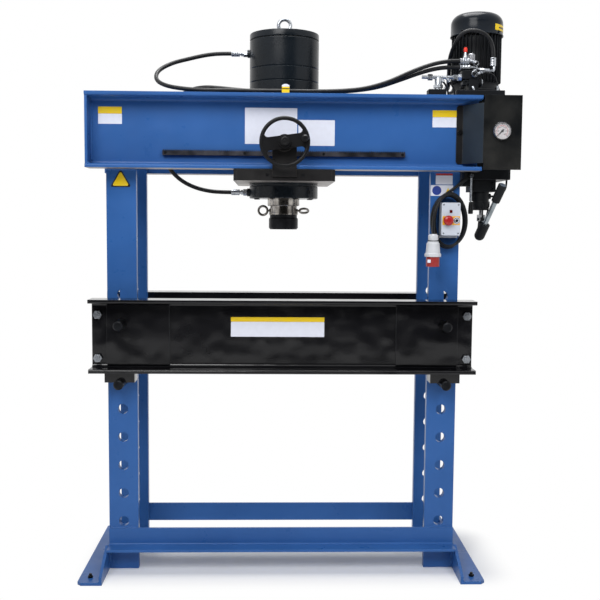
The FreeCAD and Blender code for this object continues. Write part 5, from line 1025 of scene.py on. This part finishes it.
def dial_stroke(mesh, degrees, inner, outer, width):
    """A printed line of the scale, raised a tenth of a millimetre."""
    across = Vector((math.cos(math.radians(degrees)), 0, -math.sin(math.radians(degrees)))) * width / 2
    under, over = ([mesh.verts.new(place(*(on_dial(r, degrees, lift) + across * way)))
                    for r, way in ((inner, -1), (inner, 1), (outer, 1), (outer, -1))]
                   for lift in (0.5, 0.62))
    walls(mesh, under, over)
    mesh.faces.new(over)
    mesh.faces.new(reversed(under))


LINES, RED_LINES, FIGURES = 61, 18, 7
ticks, red_ticks, figures = bmesh.new(), bmesh.new(), bmesh.new()
for k in range(LINES):
    inner, width = (25.0, 2.0) if k % 10 == 0 else (27.6, 0.8)
    dial_stroke(ticks, SCALE_START + SCALE_SWEEP * k / (LINES - 1), inner, 31.4, width)
for k in range(RED_LINES):
    dial_stroke(red_ticks, SCALE_START + SCALE_SWEEP * k / (RED_LINES - 1), 21.0, 23.6, 3.6)
for k in range(FIGURES):
    text = bpy.data.curves.new("figure", "FONT")
    text.body = str(100 * k)
    text.size = 0.0072
    text.extrude = 0.00006
    text.align_x = "CENTER"
    text.align_y = "CENTER"
    carrier = bpy.data.objects.new("figure", text)
    shape = bpy.data.meshes.new_from_object(carrier)
    spot = place(*on_dial(17.5, SCALE_START + SCALE_SWEEP * k / (FIGURES - 1), 0.6))
    shape.transform(Matrix.Translation(spot) @ Matrix.Rotation(math.radians(90), 4, "X"))
    figures.from_mesh(shape)
    bpy.data.objects.remove(carrier)
    bpy.data.curves.remove(text)
    bpy.data.meshes.remove(shape)
new_piece("dial_scale", ticks, black_film, "frame")
new_piece("dial_red_band", red_ticks, red_film, "frame")
new_piece("dial_figures", figures, black_film, "frame")

# Window glass over the dial: nearly clear, with a sharp reflection.
window_glass, tree, skin = new_finish("window_glass")
for socket, value in (
    ("Base Color", linear("#eef4f6")), ("Roughness", 0.03), ("IOR", 1.52), ("Alpha", 0.04),
):
    skin.inputs[socket].default_value = value
spot = add(tree, "TexCoord").outputs["Object"]
haze = add(tree, "TexNoise", {"Scale": 90}, {"Vector": spot})
smear = add(tree, "Bump", {"Strength": 0.05, "Distance": 0.0001}, {
    "Height": haze.outputs["Fac"]})
tree.links.new(smear.outputs["Normal"], skin.inputs["Normal"])
turned_piece("gauge_glass", [(0, 6.6), (32.6, 6.2), (32.9, 6.6), (32.9, 7.4), (26, 8.1), (0, 8.5)],
             GAUGE, FRONT, 64, window_glass, "frame", "gauge_steel")

# ---- Hand valve and hand pump ----------------------------------------------------------------
# Black castings under the tank; a zinc-plated lever with a black grip hangs from the hand
# valve, and the hand pump's socket holds a steel tube with a rubber grip.
PUMP_X, PUMP_Y = 828, -118
dress("hand_pump_body", cast_black, zinc_plate,
      choose=lambda at, way: int(at[2] < 1551 and math.hypot(at[0] - PUMP_X, at[1] - PUMP_Y) > 38.5))
dress("hand_valve", cast_black)
dress("valve_lever", zinc_plate, moulded_black,
      choose=lambda at, way: int(not 1557 < at[2] < 1650))
dress("pump_plunger", ground_steel)

# the pump's lever: the cast socket, the tube and the grip follow one another along its slope
yaw, rise = math.radians(25), math.radians(55)
lever_way = Vector((math.sin(yaw) * math.cos(rise), -math.cos(yaw) * math.cos(rise), math.sin(rise)))
lever_low = Vector((PUMP_X + 12 * math.sin(yaw), PUMP_Y - 12 * math.cos(yaw), 1440))
SOCKET_END, GRIP_START = 33, 145.5
# Drawn steel tube: a dull blue-grey plating. The nitrile rubber grip is near black and matt.
plated_tube = plain_metal("dull_plated_tube", "#7b8387", "#a3abb0", (0.26, 0.42), grain=(60, 60, 60))
grip_rubber = enamel(
    "nitrile_grip_rubber", "#101215", "#1b1e21", (0.50, 0.66), peel=0.0008, wave=0.0003, glance=0.2)


def lever_part(at, way):
    """Which finish a face of the pump's lever has: socket, tube or grip."""
    s = (Vector(at) - lever_low).dot(lever_way)
    return int(s > SOCKET_END) + int(s >= GRIP_START)


dress("pump_lever", cast_black, plated_tube, grip_rubber, choose=lever_part)
profile = [(0, GRIP_START - 2), (14, GRIP_START - 2), (17.4, GRIP_START)]
for k in range(9):
    s = 150 + 6.6 * k
    profile += [(17.3, s), (18.1, s + 1.2), (18.1, s + 3.6), (17.3, s + 4.8)]
profile += [(17.6, 212), (18.2, 214), (18.2, 222.5), (17.0, 224.6), (14.5, 225.2), (0, 225.0)]
turned_piece("lever_grip_sleeve", profile, lever_low, lever_way, 48, grip_rubber, "hand_lever",
             "black_plastic")
grip_grey = printed_film("grey_grip_end", "#4a5563", 0.5)  # cut rubber: slate grey, matt
turned_piece("lever_grip_end", [(0, 224.6), (13.4, 224.8), (13.4, 226.0), (11.5, 226.8), (0, 227.0)],
             lever_low, lever_way, 40, grip_grey, "hand_lever", "black_plastic")

# the hand valve: its pivot bolt and the ribs of its grip; and the screws of the pump's body
VALVE_X = 768
turned_piece("valve_pivot_bolt",
             [(0, 0), (7.4, 0), (7.4, 4.5), (6.6, 5.5), (3.4, 5.5), (3.2, 1.5), (0, 1.5)],
             (VALVE_X, -203, 1664), FRONT, 6, zinc_plate, "hand_valve_lever", "bright_zinc")
ribs = bmesh.new()
for k in range(5):
    z = 1514 + 7.5 * k
    r = 10.15 - 0.0715 * max(0, z - 1521)
    spun(ribs, [(r - 0.6, -1.6), (r + 0.7, -0.9), (r + 0.7, 0.9), (r - 0.6, 1.6)],
         (VALVE_X, -198, z), UP, 32)
new_piece("valve_grip_ribs", ribs, moulded_black, "hand_valve_lever")
body_screws = bmesh.new()
for x in (786, 866):
    for z in (1612, 1636):
        socket_screw(body_screws, (x, -158, z), FRONT, 10, 4)
new_piece("pump_screws", body_screws, black_oxide, "frame")

# ---- Switch box ------------------------------------------------------------------------------
# A grey ABS box on a dark base, screwed to the right post: a yellow field behind the red stop
# button and the start button, and a small dark red lamp above them.
# Moulded ABS: even pale blue-grey; its eroded grain is drawn 4 mm coarse to show at all.
grey_abs = enamel(
    "moulded_grey_abs", "#b9bfca", "#c6ccd6", (0.34, 0.46), peel=0.0002, wave=0.0003, edge="#d3d8e0")
dark_abs = enamel("moulded_dark_abs", "#2b2f35", "#3a3f46", (0.4, 0.5), peel=0.0002, wave=0.0003)
# Polished red plastic of the stop button, and the lamp's lens: dark when it isn't lit.
stop_red = enamel(
    "polished_red_plastic", "#94191b", "#a81f21", (0.22, 0.32), peel=0.0001, wave=0.0002, glance=0.5)
lens_red = enamel(
    "dark_red_lens", "#4a0508", "#63090c", (0.12, 0.2), peel=0.0001, wave=0.0001, glance=0.6)
BOX_FACE, BASE_FACE = -240, -186.2
BUTTON_Z, STOP_X, START_X = 1479, 667, 703
dress("switch_box", grey_abs, dark_abs, choose=lambda at, way: int(at[1] > BASE_FACE))
dress("stop_button", stop_red)
dress("start_button", moulded_black)
band = bmesh.new()
flat_piece(band, [rounded_box(645, 716, 1461, 1497, 1.5), round_outline(STOP_X, BUTTON_Z, 15.4),
                  round_outline(START_X, BUTTON_Z, 11.6)], BOX_FACE, 0.6, 0.15)
button_yellow = printed_film("yellow_button_field", "#e6a503", 0.5)
new_piece("button_field", band, button_yellow, "frame")
turned_piece("button_bezels", [(11.3, 0), (14.2, 0), (14.2, 1.8), (13.2, 2.6), (11.3, 2.6), (11.3, 0)],
             (START_X, BOX_FACE, BUTTON_Z), FRONT, 48, grey_abs, "frame", "switch_grey")
turned_piece("start_button_ring", [(6.4, 4.4), (9.0, 4.4), (8.6, 5.0), (6.8, 5.0), (6.4, 4.4)],
             (START_X, BOX_FACE, BUTTON_Z), FRONT, 40, white_film, "start", "switch_grey")
lamp_lens = bmesh.new()
block(lamp_lens, (673.5, BOX_FACE - 2.4, 1510), (685, BOX_FACE + 1, 1522), 0.8)
new_piece("lamp_lens", lamp_lens, lens_red, "frame")
box_screws = bmesh.new()
for x in (650, 710):
    for z in (1427, 1543):
        socket_screw(box_screws, (x, BOX_FACE + 0.4, z), FRONT, 6.5, 1.2)
new_piece("box_screws", box_screws, dark_abs, "frame")

# ---- Hoses -----------------------------------------------------------------------------------
# Two cloth-wrapped rubber hoses of 17 mm from the cylinder's ports along the top of the beam to
# the valve block, which bend as the carriage moves; a return hose round the motor to the tank's
# back; and four thin hoses. Each is crimped in its unions at both ends.
# Cloth-wrapped nitrile rubber: near black, with a low broken shine along its upper side.
hose_rubber, tree, skin = new_finish("wrapped_hose_rubber")
skin.inputs["IOR"].default_value = 1.52
skin.inputs["Specular IOR Level"].default_value = 0.25
spot = add(tree, "TexCoord").outputs["Object"]
smooth = add(tree, "TexNoise", {"Scale": 30, "Detail": 4}, {"Vector": spot})
colour = tone_and_shine(tree, skin, smooth, ("#0b0c0e", "#17181b"), (0, 1), smooth, (0.30, 0.46))
tree.links.new(colour, skin.inputs["Base Color"])
# the cloth wrap's print in the cover, threads 1.1 mm apart
wrap = add(tree, "TexVoronoi", {"Scale": 900}, {"Vector": spot})
print_of_cloth = add(tree, "Bump", {"Strength": 0.3, "Distance": 0.0002}, {
    "Height": wrap.outputs["Distance"]})
tree.links.new(print_of_cloth.outputs["Normal"], skin.inputs["Normal"])
HOSE = 17


def bare_path(carrier):
    """The points of a round line's middle, read from the curve without its bevel."""
    depth = carrier.data.bevel_depth
    carrier.data.bevel_depth = 0
    bare = bpy.data.meshes.new_from_object(carrier)
    carrier.data.bevel_depth = depth
    path = [tuple(vert.co) for vert in bare.vertices]
    bpy.data.meshes.remove(bare)
    return path, sum((Vector(b) - Vector(a)).length for a, b in zip(path, path[1:]))


def bending_hose(name, points, node):
    """A hose from the carriage to the frame: its tube is a mesh on a smooth line through the points."""
    carrier = round_line(name + "_line", points, HOSE)
    tube = bpy.data.meshes.new_from_object(carrier)
    path, length = bare_path(carrier)
    bpy.data.objects.remove(carrier)
    tube.materials.clear()
    tube.materials.append(hose_rubber)
    tube.shade_smooth()
    hose = bpy.data.objects.new(name, tube)
    bpy.context.scene.collection.objects.link(hose)
    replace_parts(hose, node)
    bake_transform(hose)


upper_route = [
    (-222.5, 0, 2178), (-274.5, 0, 2178), (-334.5, -4, 2170), (-402.5, -14, 2152),
    (-476.5, -40, 2128), (-528.5, -90, 2087), (-526.5, -151, 2040), (-476.5, -202, 2010),
    (-402.5, -226, 1996.5), (-322.5, -236, 1990.5), (-232.5, -238, 1991), (-132.5, -236, 1990.5),
    (-22.5, -234, 1991.5), (99.5, -236, 1990.5), (207.5, -237, 1992.5), (317.5, -232, 2002.5),
    (417.5, -222, 2032.5), (507.5, -206, 2076.5), (595.5, -182, 2112.5), (667.5, -172, 2129),
    (716, -172, 2129),
]
lower_route = [
    (-222.5, 0, 1594), (-268.5, 0, 1594), (-322.5, -6, 1598), (-380.5, -20, 1612),
    (-436.5, -36, 1640), (-480.5, -54, 1684), (-505.5, -70, 1740), (-513.5, -86, 1804),
    (-505.5, -102, 1870), (-480.5, -120, 1927), (-440.5, -142, 1974), (-384.5, -166, 2002),
    (-328.5, -186, 2010), (-272.5, -200, 2006), (-216.5, -206, 2000), (-142.5, -208, 1993.5),
    (-42.5, -210, 1991), (67.5, -208, 1991.5), (177.5, -207, 1993.5), (277.5, -208, 1998.5),
    (377.5, -202, 2014.5), (467.5, -194, 2046.5), (550.5, -182, 2078.5), (617.5, -176, 2097.5),
    (669.5, -172, 2104), (716, -172, 2104),
]
# the upper hose from the cylinder's upper port, the lower one from its port below the beam
bending_hose("upper_cylinder_hose", upper_route, "hose_upper")
bending_hose("lower_cylinder_hose", lower_route, "hose_lower")


def fixed_cord(name, points, diameter, nodes):
    """A cord that stays on the frame, as a round curve on its own spline."""
    made = round_line(name, points, diameter)
    _, length = bare_path(made)
    made.data.materials.append(hose_rubber)
    bpy.context.scene.collection.objects.link(made)
    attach(made, "frame")
    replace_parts(made, *nodes)


return_route = [
    (852, -172, 2144), (852, -172, 2192), (822, -170, 2240), (768, -166, 2258), (724, -148, 2246),
    (700, -106, 2198), (692, -62, 2150), (702, -14, 2106), (708, 34, 2074), (718, 72, 2062),
    (718, 106, 2062),
]
fixed_cord("return_hose", return_route, HOSE, ["hose_return"])
for name, diameter, points in (
    ("pilot_hose_left", 8, [
        (646.8, -176, 2046.64), (660.8, -176, 2029.84), (669.8, -176, 2004), (669.8, -176, 1980)]),
    ("pilot_hose_right", 8, [
        (672.8, -176, 2046.64), (686.8, -176, 2029.84), (695.8, -176, 2004), (695.8, -176, 1980)]),
    ("drain_hose", 6.5, [
        (808, -188, 2080), (838, -188, 2081), (862, -188, 2064), (870, -188, 2028)]),
    ("pump_hose", 8, [
        (867, -124, 1582), (895, -124, 1582), (921, -124, 1597), (933, -124, 1623),
        (933, -124, 1650)]),
):
    fixed_cord(name, points, diameter, ["short_hoses"])

# ---- Mains cable -----------------------------------------------------------------------------
# A rubber cable of 12 mm leaves the gland under the tank, hangs in three turns round the switch
# box, and ends straight down in a moulded polyamide plug of five pins with a red sleeve.
COIL_X, COIL_Z = 678.0, 1474.0
COIL_START, COIL_END, COIL_POINTS = 0.06, 3.25, 78


def coil_point(turns):
    """A point of the hanging turns, which vary a little and lean forward to the plug at the end."""
    angle = 2 * math.pi * turns
    wide = 71 - 4 * math.sin(1.9 * turns)
    high = 114 - 4 * math.sin(1.3 * turns + 0.6)
    late = min(1.0, max(0.0, (turns - 2.7) / 0.55))
    slack = 6.5 * turns * (1 - late)
    return (COIL_X - (wide - slack * (0.6 + 0.4 * math.sin(angle))) * math.sin(angle),
            -176 - 13.2 * turns - 32 * late * late * (3 - 2 * late),
            COIL_Z + (high - slack * (0.6 - 0.4 * math.cos(angle))) * math.cos(angle))


cable_route = [(744, -183, 1648), (716.5, -183.4, 1622.5)]
before, after = (Vector(coil_point(COIL_START + step)) for step in (-0.01, 0.01))
cable_route.append(tuple(Vector(coil_point(COIL_START)) - (after - before).normalized() * 34))
cable_route += [coil_point(COIL_START + (COIL_END - COIL_START) * k / (COIL_POINTS - 1))
                for k in range(COIL_POINTS)]
last = Vector(cable_route[-1])
plug_top = last + Vector((0, 0, -50))
cable_route += [tuple(last + Vector((0, 0, -16))), tuple(plug_top)]

# Polyamide, moulded: white body and red sleeve, both with an even semi-gloss.
plug_white = printed_film("white_polyamide", "#c9cbd0", 0.42)
plug_red = printed_film("red_polyamide", "#96231f", 0.38)
# Nickel-plated brass pins inside the sleeve: warm pale metal with sharp reflections.
pin_nickel = plain_metal("nickel_plated_brass", "#a8a196", "#cbc6bc", (0.18, 0.3))
SLEEVE_TOP = 1331
dress("mains_plug", plug_white, plug_red, choose=lambda at, way: int(at[2] < SLEEVE_TOP))
nut = bmesh.new()
spun(nut, [(18.6, -5), (20.4, -6), (20.6, -22), (19, -25), (18.6, -25)], plug_top, UP, 144,
     flutes=24, flute_depth=0.9)
spun(nut, [(30.4, -81), (33.8, -82), (33.8, -90), (30.4, -91)], plug_top, UP, 180,
     flutes=45, flute_depth=0.6)
new_piece("plug_nut_and_collar", nut, plug_white, "frame")
pins = bmesh.new()
for k, out in enumerate(spokes(5, 90)):
    r = 3.6 if k == 0 else 2.8
    spun(pins, [(0, -91), (r, -91), (r, -125), (r - 1, -127), (0, -127.5)], plug_top + out * 15.5, UP, 20)
new_piece("plug_pins", pins, pin_nickel, "frame")
mark = bmesh.new()
flat_piece(mark, [rounded_box(plug_top.x - 26, plug_top.x - 13, plug_top.z - 116, plug_top.z - 103, 1.5)],
           plug_top.y - 25.4, 0.6, 0.1)
new_piece("plug_blank_label", mark, white_film, "frame")
seals = bmesh.new()
spun(seals, [(6.2, 1.8), (8.5, 1.2), (9.5, -1), (9.5, -4), (6.2, -4)], plug_top, UP, 40)
spun(seals, [(19, -25.5), (21.4, -26), (22.4, -29), (19, -30)], plug_top, UP, 64)
new_piece("plug_seals", seals, moulded_black, "frame")
# tapered moulded sleeve round the cable below the gland, 34 mm long
leaving = (Vector(cable_route[1]) - Vector(cable_route[0])).normalized()
turned_piece("gland_sleeve", [(6.1, 33), (7.0, 34), (7.6, 30), (8.4, 18), (9.4, 6), (10.2, -1), (6.1, -1)],
             cable_route[0], leaving, 40, moulded_black, "frame", "black_plastic")
fixed_cord("mains_cable_run", cable_route, 12, ["mains_cable", "mains_coil"])
